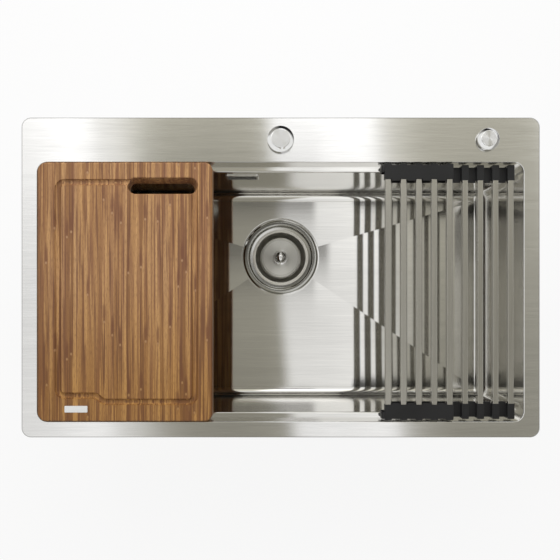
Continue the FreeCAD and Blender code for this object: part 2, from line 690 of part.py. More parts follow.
# ---- Waste body and the overflow ----
def hose_side():
    """The level direction from the drain to the hose's upright run, and how far it is."""
    run = V(OVERFLOW_X, HOUSING_Y + HOUSING_DEPTH / 2 - DRAIN_Y, 0)
    return run.normalize(), V(OVERFLOW_X, HOUSING_Y + HOUSING_DEPTH / 2 - DRAIN_Y, 0).Length


def along_spigot(radius, start, end):
    """A level cylinder on the waste spigot's axis, at distances from the drain's axis."""
    direction = hose_side()[0]
    return Part.makeCylinder(radius, end - start, V(0, DRAIN_Y, SPIGOT_Z) + direction * start, direction)


def chamber_outer():
    return CHAMBER_R + BODY_WALL


def boss_end():
    """How far the waste body's boss reaches from the drain's axis."""
    return chamber_outer() + BODY_BOSS_LENGTH


def waste_body():
    """The plastic body under the cup: collar, chamber, cone, tail and side spigot."""
    collar_in = CUP_R + SHEET_T + THREAD_GAP
    collar_out = collar_in + COLLAR_WALL
    step = SHOULDER_Z - COLLAR_SHOULDER
    outside = [
        (0, COLLAR_Z), (collar_out, COLLAR_Z), (collar_out, step), (chamber_outer(), step - BODY_WALL),
        (chamber_outer(), CHAMBER_Z), (TAIL_R, TAIL_Z), (TAIL_R, TAIL_Z - TAIL_LENGTH),
        (0, TAIL_Z - TAIL_LENGTH),
    ]
    inside = [
        (0, COLLAR_Z), (collar_in, COLLAR_Z), (collar_in, SHOULDER_Z), (CHAMBER_R, SHOULDER_Z),
        (CHAMBER_R, CHAMBER_Z), (TAIL_BORE_R, TAIL_Z), (TAIL_BORE_R, TAIL_Z - TAIL_LENGTH),
        (0, TAIL_Z - TAIL_LENGTH),
    ]
    body = spun(outside, DRAIN)
    boss = along_spigot(BOSS_R, 0, boss_end())
    spigot = along_spigot(SPIGOT_R, 0, boss_end() + SPIGOT_LENGTH)
    bore = along_spigot(SPIGOT_BORE_R, 0, boss_end() + SPIGOT_LENGTH)
    return body.multiFuse([boss, spigot]).removeSplitter().cut([spun(inside, DRAIN), bore])


def body_seal():
    return ring(CUP_R, CHAMBER_R, SHOULDER_Z, CUP_Z - SHEET_T, DRAIN)


def overflow_frame():
    """The bowl-side frame with its collar through the wall and two holding tongues."""
    face_y = REAR_WALL_Y - FRAME_PROUD
    frame = overflow_window(FRAME_BORDER, face_y, REAR_WALL_Y, FRAME_R + 1)
    front = [e for e in frame.Edges if abs(e.BoundBox.YMax - face_y) < 0.001]
    frame = frame.makeFillet(FRAME_PROUD / 3, front)
    collar_end = REAR_WALL_Y + COLLAR_DEPTH
    frame = frame.fuse(overflow_window(COLLAR_T, REAR_WALL_Y, collar_end))
    tongue_y = HOUSING_Y + HOUSING_FLANGE_T + COLLAR_FIT
    half = FRAME_W / 2 - FRAME_BORDER
    for side in (-1, 1):
        x = OVERFLOW_X + side * half
        tongue = box(x, x + side * (COLLAR_T + COLLAR_FIT + TONGUE_T), tongue_y, tongue_y + 2 * TONGUE_T,
                     FRAME_Z - TONGUE_W / 2, FRAME_Z + TONGUE_W / 2)
        frame = frame.fuse(tongue)
    return frame.cut(overflow_window(0, face_y, collar_end)).removeSplitter()


def overflow_gasket():
    band = overflow_window(GASKET_BAND, WALL_BACK_Y, HOUSING_Y, FRAME_R + GASKET_BAND / 2)
    return band.cut(overflow_window(COLLAR_T + COLLAR_FIT, WALL_BACK_Y, HOUSING_Y))


def hose_top():
    """The hose's upper end: the underside of the housing's boss."""
    return FRAME_Z - FRAME_H / 2 - HOUSING_WALL - BOSS_LENGTH - HOSE_GAP


def overflow_housing():
    """The box behind the wall, open to the collar, with a boss and spigot below."""
    back = HOUSING_Y + HOUSING_DEPTH
    room_y = HOUSING_Y + HOUSING_FLANGE_T
    shell_y0 = HOUSING_Y + HOUSING_FLANGE_T / 2
    flange = overflow_window(GASKET_BAND, HOUSING_Y, room_y, FRAME_R + GASKET_BAND / 2)
    outer = overflow_window(HOUSING_SIDE + HOUSING_WALL, shell_y0, back, FRAME_R + HOUSING_WALL)
    room = overflow_window(HOUSING_SIDE, room_y, back - HOUSING_WALL)
    mouth = overflow_window(COLLAR_T + COLLAR_FIT, HOUSING_Y, room_y)
    axis = (OVERFLOW_X, HOUSING_Y + HOUSING_DEPTH / 2)
    boss_z = hose_top() + HOSE_GAP
    boss = rod(BOSS_R, boss_z, FRAME_Z - FRAME_H / 2, axis)
    spigot = rod(SPIGOT_R, boss_z - SPIGOT_LENGTH, boss_z, axis)
    bore = rod(SPIGOT_BORE_R, boss_z - SPIGOT_LENGTH, FRAME_Z, axis)
    return flange.multiFuse([outer, boss, spigot]).removeSplitter().cut([room, mouth, bore])


def overflow_hose():
    """Straight down behind the bowl, one bend under it, and level to the waste body."""
    direction, distance = hose_side()
    top = V(OVERFLOW_X, HOUSING_Y + HOUSING_DEPTH / 2, hose_top())
    corner = V(top.x, top.y, SPIGOT_Z)
    end = V(0, DRAIN_Y, SPIGOT_Z) + direction * (boss_end() + HOSE_GAP)
    path = path_of([top, corner, end], [HOSE_BEND_R])
    hose = swept_round(path, HOSE_R)
    print("hose length", round(path.Length, 1), "volume over section times length",
          round(hose.Volume / (math.pi * HOSE_R ** 2 * path.Length), 5), "reach", round(distance, 1))
    return hose.cut(swept_round(path, SPIGOT_R + HOSE_FIT))


def nut_profile():
    """A hose nut's section, from its grip on the hose to its thread on the boss."""
    hose_in = HOSE_R + HOSE_FIT
    boss_in = BOSS_R + THREAD_GAP
    return [
        (hose_in, 0), (HOSE_NUT_R, 0), (HOSE_NUT_R, 2 * HOSE_NUT_GRIP), (boss_in, 2 * HOSE_NUT_GRIP),
        (boss_in, HOSE_NUT_GRIP), (hose_in, HOSE_NUT_GRIP),
    ]


def hose_nut_upper():
    nut = spun(nut_profile(), (OVERFLOW_X, HOUSING_Y + HOUSING_DEPTH / 2))
    nut.translate(V(0, 0, hose_top() - HOSE_NUT_GRIP))
    return nut


def hose_nut_lower():
    direction = hose_side()[0]
    nut = spun(nut_profile())
    nut.Placement = FreeCAD.Placement(V(0, 0, 0), FreeCAD.Rotation(UP, direction * -1))
    nut.translate(V(0, DRAIN_Y, SPIGOT_Z) + direction * (boss_end() + HOSE_GAP + HOSE_NUT_GRIP))
    return nut


# ---- Hole covers ----
def hole_cover(name, x, hole_r, cover_r, button_r):
    """A stepped button with its stud, seal, washer and wing nut, as four nodes."""
    at = (x, REAR_DECK_Y)
    z = TOP_Z + COVER_SEAL_T
    cap = rod(cover_r, z, z + COVER_STEP_H, at).fuse(rod(button_r, z, z + COVER_H, at)).removeSplitter()
    rounded = circles(cap, cover_r, z + COVER_STEP_H) + circles(cap, button_r, z + COVER_H)
    cap = cap.makeFillet(COVER_EDGE_R, rounded)
    cap = cap.fuse(rod(COVER_STUD_R, DECK_Z - COVER_STUD_LENGTH, z, at)).removeSplitter()
    export(name + "_cover", cap)
    export(name + "_cover_seal", ring(cover_r - COVER_SEAL_INSET, COVER_STUD_R + STUD_FIT, TOP_Z, z, at))
    washer_z = DECK_Z - WASHER_T
    washer = ring(hole_r + WASHER_OVERLAP, COVER_STUD_R + STUD_FIT, washer_z, DECK_Z, at)
    export(name + "_cover_washer", washer)
    wing_z = washer_z - WING_HUB_H
    nut = rod(WING_HUB_R, wing_z, washer_z, at)
    for side in (-1, 1):
        wing = box(x, x + side * WING_SPAN / 2, REAR_DECK_Y - WING_T / 2, REAR_DECK_Y + WING_T / 2,
                   washer_z - WING_H, washer_z - WING_T)
        corners = [e for e in wing.Edges if e.Length < WING_T + 0.001 and abs(e.Vertexes[0].X - x) > 1]
        nut = nut.fuse(wing.makeFillet(WING_T, corners))
    nut = nut.cut(rod(COVER_STUD_R + THREAD_GAP, washer_z - WING_H, washer_z, at))
    export(name + "_cover_wing_nut", nut.removeSplitter())


# ---- Cutting board ----
def groove_path():
    """The juice groove's line, from inside the hand slot all the way round and back to it."""
    left = BOARD_X - BOARD_W / 2 + GROOVE_LEFT
    right = BOARD_X + BOARD_W / 2 - GROOVE_RIGHT
    rear = BOARD_D / 2 - GROOVE_REAR
    front = GROOVE_FRONT - BOARD_D / 2
    jog = BOARD_X - BOARD_W / 2 + GROOVE_JOG_X
    slot_x, slot_y = slot_middle()
    z = BOARD_TOP - GROOVE_DEPTH + groove_radius()
    points = [
        V(slot_x - SLOT_LENGTH / 2 + SLOT_W / 2, rear, z), V(left, rear, z), V(left, front, z),
        V(jog, front, z), V(jog + GROOVE_JOG_RUN, front - GROOVE_JOG, z),
        V(right, front - GROOVE_JOG, z), V(right, slot_y, z),
    ]
    return path_of(points, [GROOVE_TURN_R] * (len(points) - 2))


def groove_radius():
    """The radius of a round-bottomed groove of the given width and depth."""
    return (GROOVE_W ** 2 / 4 + GROOVE_DEPTH ** 2) / (2 * GROOVE_DEPTH)


def slot_middle():
    x = BOARD_X + BOARD_W / 2 - SLOT_RIGHT - SLOT_LENGTH / 2
    y = BOARD_D / 2 - SLOT_REAR - SLOT_W / 2
    return x, y


def name_plate_middle():
    x = BOARD_X - BOARD_W / 2 + NAME_PLATE_LEFT + NAME_PLATE_W / 2
    y = -BOARD_D / 2 + NAME_PLATE_FRONT + NAME_PLATE_D / 2
    return x, y


def hand_slot():
    """The slot's hollow, with its rear wall and right end leaning in towards its foot."""
    x, y = slot_middle()
    foot_w = SLOT_W - SLOT_SLOPE_REAR
    top = outline(SLOT_LENGTH, SLOT_W, [SLOT_W / 2 - 0.001] * 4, BOARD_TOP)
    top.translate(V(x, y, 0))
    foot = outline(SLOT_LENGTH - SLOT_SLOPE_RIGHT, foot_w, [foot_w / 2 - 0.001] * 4, LEDGE_Z)
    foot.translate(V(x - SLOT_SLOPE_RIGHT / 2, y - SLOT_SLOPE_REAR / 2, 0))
    return Part.makeLoft([foot, top], True, True)


def cutting_board():
    radii = [BOARD_R_LEFT, BOARD_R_RIGHT, BOARD_R_RIGHT, BOARD_R_LEFT]
    board = Part.Face(outline(BOARD_W, BOARD_D, radii, LEDGE_Z)).extrude(UP * BOARD_T)
    board.translate(V(BOARD_X, 0, 0))
    board = board.makeFillet(BOARD_EDGE_R, level_edges(board, BOARD_TOP) + level_edges(board, LEDGE_Z))
    board = board.cut(hand_slot())
    slot_x, slot_y = slot_middle()
    slot_edges = []
    for edge in level_edges(board, BOARD_TOP) + level_edges(board, LEDGE_Z):
        middle = edge.valueAt((edge.FirstParameter + edge.LastParameter) / 2)
        if abs(middle.x - slot_x) < SLOT_LENGTH / 2 + 1 and abs(middle.y - slot_y) < SLOT_W / 2 + 1:
            slot_edges.append(edge)
    board = board.makeFillet(SLOT_EDGE_R, slot_edges)
    board = board.cut(swept_round(groove_path(), groove_radius()))
    pocket_z = BOARD_TOP - NAME_PLATE_T + NAME_PLATE_PROUD
    pocket = block(NAME_PLATE_W, NAME_PLATE_D, NAME_PLATE_R, pocket_z, BOARD_TOP, name_plate_middle())
    return board.cut(pocket)


def name_plate():
    """A bare metal plate, let into the board."""
    z0 = BOARD_TOP - NAME_PLATE_T + NAME_PLATE_PROUD
    plate = block(NAME_PLATE_W, NAME_PLATE_D, NAME_PLATE_R, z0, z0 + NAME_PLATE_T, name_plate_middle())
    return plate.makeFillet(NAME_PLATE_PROUD / 2, level_edges(plate, z0 + NAME_PLATE_T))


# ---- Roll-up rack ----
def lower_rod_z():
    return LEDGE_Z + STRIP_BAND + ROD_SIDE / 2


def rack_rod(x):
    """A square tube lying along Y, in the lower layer."""
    tube = Part.Face(outline(ROD_SIDE, ROD_SIDE, [ROD_CORNER_R] * 4)).extrude(UP * ROD_LENGTH)
    bore_side = ROD_SIDE - 2 * ROD_WALL
    bore = Part.Face(outline(bore_side, bore_side, [ROD_CORNER_R / 4] * 4)).extrude(UP * ROD_LENGTH)
    tube = tube.cut(bore)
    tube.rotate(V(0, 0, 0), V(1, 0, 0), -90)
    tube.translate(V(x, -ROD_LENGTH / 2, lower_rod_z()))
    return tube


def rack_strip(rod_places):
    """The rear silicone strip of the lower layer, with a block round each rod's end."""
    y1 = RACK_D / 2
    y0 = y1 - STRIP_W
    half = BLOCK_W / 2
    web_y0 = y0 - STRIP_WEB_REACH
    web = box(min(rod_places) - half, max(rod_places) + half, web_y0, y1 - STRIP_WEB_INSET, LEDGE_Z,
              LEDGE_Z + STRIP_BAND)
    web = web.cut([box(x - half, x + half, web_y0, y0, LEDGE_Z, LEDGE_Z + STRIP_BAND) for x in rod_places])
    blocks = [box(x - half, x + half, y0, y1, LEDGE_Z, LEDGE_Z + LAYER_H) for x in rod_places]
    strip = web.multiFuse(blocks).removeSplitter()
    grip = ROD_SIDE + 2 * ROD_FIT
    z = lower_rod_z()
    holes = [box(x - grip / 2, x + grip / 2, y0, y1 - STRIP_END, z - grip / 2 + ROD_FIT, z + grip / 2)
             for x in rod_places]
    strip = strip.cut(holes)
    ends = [e for e in strip.Edges if abs(e.BoundBox.YMin - y1) < 0.001 and e.BoundBox.ZLength > STRIP_BAND]
    return strip.makeFillet(STRIP_END * 1.5, ends)


def fold_loop():
    """The narrow band that carries the rear strip from the lower layer round to the flap."""
    y1 = RACK_D / 2 - STRIP_WEB_INSET
    y0 = y1 - FOLD_LOOP_W
    lower_end = LAST_ROD_X - BLOCK_W / 2
    upper_end = FLAP_ROD_X - BLOCK_W / 2
    height = 2 * (FOLD_Z - LEDGE_Z)
    width = height + 2 * FOLD_REACH
    thin = 2 * STRIP_BAND
    bend = Part.Face(outline(width, height, [FOLD_LOOP_R] * 4)).extrude(UP * FOLD_LOOP_W)
    inner_r = FOLD_LOOP_R - STRIP_BAND
    bend = bend.cut(Part.Face(outline(width - thin, height - thin, [inner_r] * 4)).extrude(UP * FOLD_LOOP_W))
    bend.rotate(V(0, 0, 0), V(1, 0, 0), -90)
    left = upper_end - FOLD_REACH
    bend.translate(V(left + width / 2, y0, FOLD_Z))
    lower_half = bend.common(box(left, lower_end, y0, y1, LEDGE_Z, FOLD_Z))
    upper_half = bend.common(box(left, upper_end, y0, y1, FOLD_Z, FOLD_Z + height / 2))
    return lower_half.fuse(upper_half).removeSplitter()


def on_flap(piece):
    """The piece of the upper layer above a piece of the lower one."""
    return piece.mirror(V(0, 0, FOLD_Z), UP)


def at_front(piece):
    return piece.mirror(V(0, 0, 0), V(0, 1, 0))


def build_rack():
    lower = [FIRST_ROD_X - i * ROD_PITCH for i in range(LOWER_RODS)]
    upper = [FLAP_ROD_X + i * ROD_PITCH for i in range(UPPER_RODS)]
    for number, x in enumerate(lower, 1):
        export("rack_rod_%02d" % number, rack_rod(x))
    for number, x in enumerate(upper, LOWER_RODS + 1):
        export("rack_rod_%02d" % number, on_flap(rack_rod(x)))
    strip = rack_strip(lower)
    flap_strip = on_flap(rack_strip(upper))
    export("rack_strip_rear", strip)
    export("rack_strip_front", at_front(strip))
    export("flap_strip_rear", flap_strip)
    export("flap_strip_front", at_front(flap_strip))
    export("fold_loop_rear", fold_loop())
    export("fold_loop_front", at_front(fold_loop()))


def main():
    os.makedirs("parts", exist_ok=True)
    export("deck_plate", deck_plate())
    export("rim_seal", rim_seal())
    export("bowl_body", bowl_body())
    export("floor_pads", floor_pads())
    export("wall_pads", wall_pads())
    export("clip_brackets", round_the_rim(bracket()))
    export("rim_clips", round_the_rim(clip()))
    export("clip_screws", round_the_rim(clip_screw()))
    export("strainer_flange", strainer_flange())
    export("upper_seal", upper_seal())
    export("lower_seal", lower_seal())
    export("lock_nut", lock_nut())
    export("waste_body", waste_body())
    export("body_seal", body_seal())
    export("strainer_basket", strainer_basket())
    export("stopper_plate", stopper_plate())
    export("stopper_stem", stopper_stem())
    export("stopper_seal", stopper_seal())
    export("stopper_knob", stopper_knob())
    export("overflow_frame", overflow_frame())
    export("overflow_gasket", overflow_gasket())
    export("overflow_housing", overflow_housing())
    export("overflow_hose", overflow_hose())
    export("hose_nut_upper", hose_nut_upper())
    export("hose_nut_lower", hose_nut_lower())
    hole_cover("tap", TAP_X, TAP_HOLE_R, TAP_COVER_R, TAP_BUTTON_R)
    hole_cover("accessory", ACCESSORY_X, ACCESSORY_HOLE_R, ACCESSORY_COVER_R, ACCESSORY_BUTTON_R)
    export("cutting_board", cutting_board())
    export("name_plate", name_plate())
    build_rack()


main()
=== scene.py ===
# %% [markdown]
# # A workstation kitchen sink, finished and photographed from above
# The sink arrives as plain solids at their true size: deck plate, bowl, strainer, board, rack
# and everything that hides under the worktop. This lesson gives each of them its finish, and
# remakes the few pieces whose solids are too plain to show: the rack's silicone, the hose and
# some round steel. Sizes are in metres, unless a comment says millimetres.

# %% Load the sink
import math

import bmesh
import bpy
from mathutils import Matrix, Vector


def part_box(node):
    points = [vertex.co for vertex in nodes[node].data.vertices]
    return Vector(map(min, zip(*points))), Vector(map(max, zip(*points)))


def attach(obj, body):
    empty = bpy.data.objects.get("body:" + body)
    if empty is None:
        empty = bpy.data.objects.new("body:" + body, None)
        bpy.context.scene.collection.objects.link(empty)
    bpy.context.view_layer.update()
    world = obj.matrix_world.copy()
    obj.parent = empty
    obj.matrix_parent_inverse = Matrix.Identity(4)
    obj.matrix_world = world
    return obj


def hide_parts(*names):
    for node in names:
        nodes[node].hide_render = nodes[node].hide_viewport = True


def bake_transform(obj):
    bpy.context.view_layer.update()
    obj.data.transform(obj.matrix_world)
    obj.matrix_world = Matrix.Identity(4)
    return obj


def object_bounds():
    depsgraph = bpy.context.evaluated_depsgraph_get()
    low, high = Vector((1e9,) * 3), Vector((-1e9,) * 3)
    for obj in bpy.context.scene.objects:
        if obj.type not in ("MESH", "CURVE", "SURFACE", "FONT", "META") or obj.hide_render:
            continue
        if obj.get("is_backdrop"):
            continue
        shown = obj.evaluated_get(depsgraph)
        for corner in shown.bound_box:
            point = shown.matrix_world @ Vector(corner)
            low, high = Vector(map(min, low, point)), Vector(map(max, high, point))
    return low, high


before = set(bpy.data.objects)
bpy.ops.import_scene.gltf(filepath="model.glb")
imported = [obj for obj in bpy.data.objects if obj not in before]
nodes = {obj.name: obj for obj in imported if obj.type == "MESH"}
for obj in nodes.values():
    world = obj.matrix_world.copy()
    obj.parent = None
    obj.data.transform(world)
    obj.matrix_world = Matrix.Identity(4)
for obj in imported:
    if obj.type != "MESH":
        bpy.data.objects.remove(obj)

SOLID_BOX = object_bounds()


def in_scene(name, data):
    """An object in the scene that shows this mesh, or works as this lamp or camera."""
    thing = bpy.data.objects.new(name, data)
    bpy.context.scene.collection.objects.link(thing)
    return thing


print("solids:", len(nodes), "box", [tuple(round(v, 4) for v in corner) for corner in SOLID_BOX])

# %% [markdown]
# ## Camera
# The sink was photographed from straight above, a little in front of its middle, so the lens
# looks down the Z axis. A camera with no rotation does exactly that. The picture was cropped
# lower than the lens points, and a small vertical shift does the same here.

# %% Camera
CAMERA_PLACE = (-0.001, -0.020, 1.084)
CAMERA_LENS = 44.45
CAMERA_SHIFT = 0.0441

camera_data = bpy.data.cameras.new("camera")
camera_data.lens = CAMERA_LENS
camera_data.sensor_width = 36.0
camera_data.shift_y = CAMERA_SHIFT
camera = in_scene("camera", camera_data)
camera.location = CAMERA_PLACE
bpy.context.scene.camera = camera
bpy.context.scene.view_settings.view_transform = "Standard"
print("camera", CAMERA_PLACE, "lens", CAMERA_LENS)

# %% [markdown]
# ## A short way to add shader nodes
# Every finish below is a small network of shader nodes. Writing each node by hand takes four
# lines, so one helper makes a node, sets it up and connects what feeds it. A few more cover
# what comes up all the time: arithmetic, a change of range, two colours mixed or multiplied,
# a ramp of several colours, a point's place split into its three parts, and the last links,
# which give a shader its colour, its roughness and its bump.

# %% Node helpers
def add(tree, kind, values=None, links=None, **settings):
    """One shader node, with its settings, its fixed values and what feeds it."""
    node = tree.nodes.new("ShaderNode" + kind)
    for setting, value in settings.items():
        setattr(node, setting, value)
    for socket, value in (values or {}).items():
        node.inputs[socket].default_value = value
    for socket, source in (links or {}).items():
        tree.links.new(source, node.inputs[socket])
    return node


def split(items, fixed, first=0):
    """Inputs by socket number, those with a fixed value apart from those that are linked."""
    given = {first + place: item for place, item in enumerate(items) if item is not None}
    values = {place: item for place, item in given.items() if isinstance(item, fixed)}
    return values, {place: item for place, item in given.items() if place not in values}


def maths(tree, operation, first, second=None):
    """Arithmetic on one or two inputs, each of them a number or another node's output."""
    values, links = split((first, second), (int, float))
    return add(tree, "Math", values, links, operation=operation).outputs[0]


def vector(tree, operation, first, second=None):
    """Arithmetic on vectors, each of them a tuple or another node's output."""
    values, links = split((first, second), tuple)
    return add(tree, "VectorMath", values, links, operation=operation).outputs


def ranged(tree, value, old=(0.0, 1.0), new=(0.0, 1.0)):
    """A number moved from one range to another and held at its ends."""
    limits = {1: old[0], 2: old[1], 3: new[0], 4: new[1]}
    return add(tree, "MapRange", limits, {0: value}).outputs[0]


def mixed(tree, share, low, high):
    """A colour between two others; each is a colour or another node's output."""
    colours, links = split((low, high), tuple, 6)
    values = {place: (*colour, 1.0) for place, colour in colours.items()}
    return add(tree, "Mix", values, {0: share, **links}, data_type="RGBA").outputs[2]


def multiplied(tree, colour, tone):
    """A colour darkened or tinted by another one; both are other nodes' outputs."""
    links = {6: colour, 7: tone}
    return add(tree, "Mix", {0: 1.0}, links, data_type="RGBA", blend_type="MULTIPLY").outputs[2]


def ramp(tree, share, stops):
    """A colour read from a row of stops, each a position from 0 to 1 and a colour."""
    node = add(tree, "ValToRGB", None, {"Fac": share})
    row = node.color_ramp.elements
    while len(row) < len(stops):
        row.new(1.0)
    for element, (position, colour) in zip(row, stops):
        element.position = position
        element.color = (*colour, 1.0)
    return node.outputs["Color"]


def place_of(tree):
    """The point being shaded, in the object's own metres."""
    return add(tree, "TexCoord").outputs["Object"]


def axes_of(tree):
    """The same point as three numbers: x, y and z."""
    return add(tree, "SeparateXYZ", None, {0: place_of(tree)}).outputs


def new_finish(name):
    """A material, its nodes and the shader that every new material comes with."""
    finish = bpy.data.materials.new(name)
    finish.use_nodes = True
    return finish, finish.node_tree, finish.node_tree.nodes["Principled BSDF"]


def surfaced(tree, shader, colour, rough, strength, depth, height):
    """The shader gets its colour, its roughness and a low bump, each from other nodes."""
    size = {"Strength": strength, "Distance": depth}
    bump = add(tree, "Bump", size, {"Height": height}).outputs[0]
    for socket, source in (("Base Color", colour), ("Roughness", rough), ("Normal", bump)):
        tree.links.new(source, shader.inputs[socket])


helpers = (add, maths, vector, ranged, mixed, multiplied, ramp, new_finish, surfaced)
print("helpers:", [helper.__name__ for helper in helpers])

# %% [markdown]
# ## The studio ceiling
# Bare steel has no colour of its own to speak of: it shows what hangs above it. Here that is a
# row of soft boxes with dim gaps between them. They run from the front of the studio to the
# rear, a little askew, so their edges cross the deck as upright bands. One large panel over
# the sink carries them all. A real panel at a real height is worth the trouble, because the
# bowl's walls and floor then mirror other parts of it than the deck does. One ramp says how
# bright each place is from left to right, and a second dims it towards the front. A third
# lifts the soft boxes alone there, so their contrast with the gaps grows. A dark flap hangs
# behind the middle, where the floor behind the drain mirrors it and stays dim.
#
# The places in these ramps are slopes, metres sideways per metre of height. A line of sight
# that leans so much and mirrors in the deck meets the ceiling SPREAD times its slope away.

# %% Studio ceiling
CEILING_Z = 1.85
CEILING_HALF = 2.4
SPREAD = CEILING_Z + CAMERA_PLACE[2]  # down from the lens and up again to the ceiling
SKEW = 0.079  # sideways lean of the soft boxes, per metre from the rear
REAR_SLOPE = 0.223  # the lean is counted from here, the rear deck
WARM_GREY = (1.0, 0.965, 0.82)
BANDS_ACROSS = (
    (-0.80, 1.00), (-0.50, 0.98), (-0.42, 0.98), (-0.36, 1.04), (-0.305, 1.22), (-0.278, 1.12),
    (-0.262, 0.92), (-0.232, 0.82), (-0.212, 0.69), (-0.186, 0.53), (-0.160, 0.46), (-0.100, 0.43),
    (-0.050, 0.45), (-0.025, 0.49), (-0.004, 1.08), (0.060, 1.10), (0.120, 1.22), (0.136, 1.12),
    (0.146, 0.86), (0.164, 0.68), (0.184, 0.58), (0.204, 0.50), (0.225, 0.46), (0.300, 0.44),
    (0.368, 0.46), (0.385, 0.62), (0.47, 0.98), (0.80, 1.00),
)
BANDS_ALONG = (
    (-0.80, 1.0), (-0.38, 0.85), (-0.22, 0.64), (-0.138, 0.67), (-0.050, 0.71), (0.036, 0.80),
    (0.079, 0.86), (0.122, 0.92), (0.160, 1.0), (0.270, 1.02), (0.36, 1.7), (0.52, 1.9), (0.80, 1.0),
)
LIFT_ALONG = (
    (-0.80, 0.0), (-0.30, 0.25), (-0.173, 0.28), (-0.125, 0.30), (-0.066, 0.17), (0.0, 0.04),
    (0.80, 0.0),
)
BAND_TOP = 1.25  # a ramp holds colours up to 1, so brightness is stored as a share of this
FADE_TOP = 2.0  # and the fade as a share of this
GAP_LEVEL, BOX_LEVEL = 0.60, 1.0  # brightness where a gap ends and a soft box begins
WARM_RANGE = 0.55  # a gap this much dimmer than a soft box is fully warm


def band_colour(brightness):
    """A dim gap is warm grey, and a soft box is neutral white."""
    warmth = max(0.0, min(1.0, (BOX_LEVEL - brightness) / WARM_RANGE))
    return tuple(brightness / BAND_TOP * (1 - warmth * (1 - tone)) for tone in WARM_GREY)


def along_ramp(tree, place, stops, colour_of):
    """A ramp over stops given as slopes seen on the deck."""
    reach = stops[-1][0]
    share = maths(tree, "ADD", maths(tree, "MULTIPLY", place, 0.5 / reach / SPREAD), 0.5)
    row = [(0.5 + 0.5 * slope / reach, colour_of(value)) for slope, value in stops]
    return ramp(tree, share, row)


ceiling_paint = bpy.data.materials.new("soft_boxes")
ceiling_paint.use_nodes = True
tree = ceiling_paint.node_tree
tree.nodes.clear()
spot = axes_of(tree)
from_rear = maths(tree, "SUBTRACT", spot[1], REAR_SLOPE * SPREAD)
leaning = maths(tree, "ADD", spot[0], maths(tree, "MULTIPLY", from_rear, SKEW))
bands = along_ramp(tree, leaning, BANDS_ACROSS, band_colour)
fade = along_ramp(tree, spot[1], BANDS_ALONG, lambda value: (value / FADE_TOP,) * 3)
lift = along_ramp(tree, spot[1], LIFT_ALONG, lambda value: (value, value, value))
boxes = ranged(tree, bands, (GAP_LEVEL / BAND_TOP, BOX_LEVEL / BAND_TOP))
lifted = maths(tree, "ADD", maths(tree, "MULTIPLY", boxes, lift), 1.0)
level = maths(tree, "MULTIPLY", maths(tree, "MULTIPLY", fade, BAND_TOP * FADE_TOP), lifted)
print("ceiling stops:", len(BANDS_ACROSS), len(BANDS_ALONG), len(LIFT_ALONG))

# %% [markdown]
# ## Dark flap and ceiling panel
# The flap is no piece of its own. It is a soft-edged oblong in the ceiling's paint, 1 inside
# and 0 outside, that chooses between the bands' light and its own dim one. The ceiling panel
# shows only in mirror reflections, and matt surfaces are lit by the lamp and the walls.

# %% Flap and panel
FLAP_ALONG = (0.064, 0.150)
FLAP_ACROSS = (-0.20, 0.057)
FLAP_SOFT_ALONG, FLAP_SOFT_ACROSS = 0.020, 0.015  # half the width of its soft edges, in metres
FLAP_TONE = (0.115, 0.111, 0.100)


def between(tree, place, edges, soft):
    """1 between two slopes on the ceiling, with soft ends, and 0 outside them."""
    low, high = (edge * SPREAD for edge in edges)
    rise = ranged(tree, place, (low - soft, low + soft))
    fall = ranged(tree, place, (high - soft, high + soft), (1.0, 0.0))
    return maths(tree, "MULTIPLY", rise, fall)


flap_across = between(tree, spot[0], FLAP_ACROSS, FLAP_SOFT_ACROSS)
flap_along = between(tree, spot[1], FLAP_ALONG, FLAP_SOFT_ALONG)
flap = maths(tree, "MULTIPLY", flap_across, flap_along)
open_light = add(tree, "Emission", None, {0: bands, 1: level}).outputs[0]
flap_light = add(tree, "Emission", {0: (*FLAP_TONE, 1.0), 1: 1.0}).outputs[0]
shine = add(tree, "MixShader", None, {0: flap, 1: open_light, 2: flap_light}).outputs[0]
add(tree, "OutputMaterial", None, {"Surface": shine})


def level_sheet(name, half, height):
    """A square sheet lying level, which belongs to the studio and not to the sink."""
    mesh = bpy.data.meshes.new(name)
    corners = [(-half, -half, 0), (half, -half, 0), (half, half, 0), (-half, half, 0)]
    mesh.from_pydata(corners, [], [(0, 1, 2, 3)])
    sheet = in_scene(name, mesh)
    sheet.location.z = height
    sheet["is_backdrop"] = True
    return sheet


ceiling = level_sheet("studio_ceiling", CEILING_HALF, CEILING_Z)
ceiling.data.materials.append(ceiling_paint)
ceiling.visible_camera = False
ceiling.visible_diffuse = False
ceiling.visible_transmission = False
ceiling.visible_shadow = False
print("soft boxes at", CEILING_Z, "m, flap", FLAP_ACROSS, "by", FLAP_ALONG)

# %% [markdown]
# ## The studio's walls
# Beyond the ceiling panel a mirrored ray meets the world. The walls are white from above a
# person's height, and that is what draws the bright line round the mouth and along every
# rounded edge. Lower down they are dim, which only steep bevels see, such as those of the
# chrome covers. Two windows there, to the left and at the front, and a black curtain to the
# rear right give the bevels their bright and black patches. Each is found by how closely a
# ray's direction agrees with its own. Matt surfaces get one even light, and the camera sees
# plain white.

# %% Studio world
HIGH_WALL = (0.98, 0.98, 0.96)
HIGH_FROM = (0.19, 0.30)  # height of a ray's direction where the white begins and is full
WINDOW_WHITE = (1.0, 1.0, 0.98)
CURTAIN_BLACK = (0.02, 0.02, 0.02)
DIM_WALL = (0.36, 0.35, 0.32)
# direction of the middle, and how closely a ray agrees with it at the edge and in the core
WINDOWS = (((-0.98, 0.10, 0.16), 0.90, 0.97), ((-0.35, -0.92, 0.16), 0.90, 0.97))
CURTAIN = ((0.55, 0.80, 0.16), 0.50, 0.80)
MATT_LIGHT = 0.50
MATT_TONE = (1.0, 0.985, 0.96, 1.0)
WHITE = (1.0, 1.0, 1.0, 1.0)

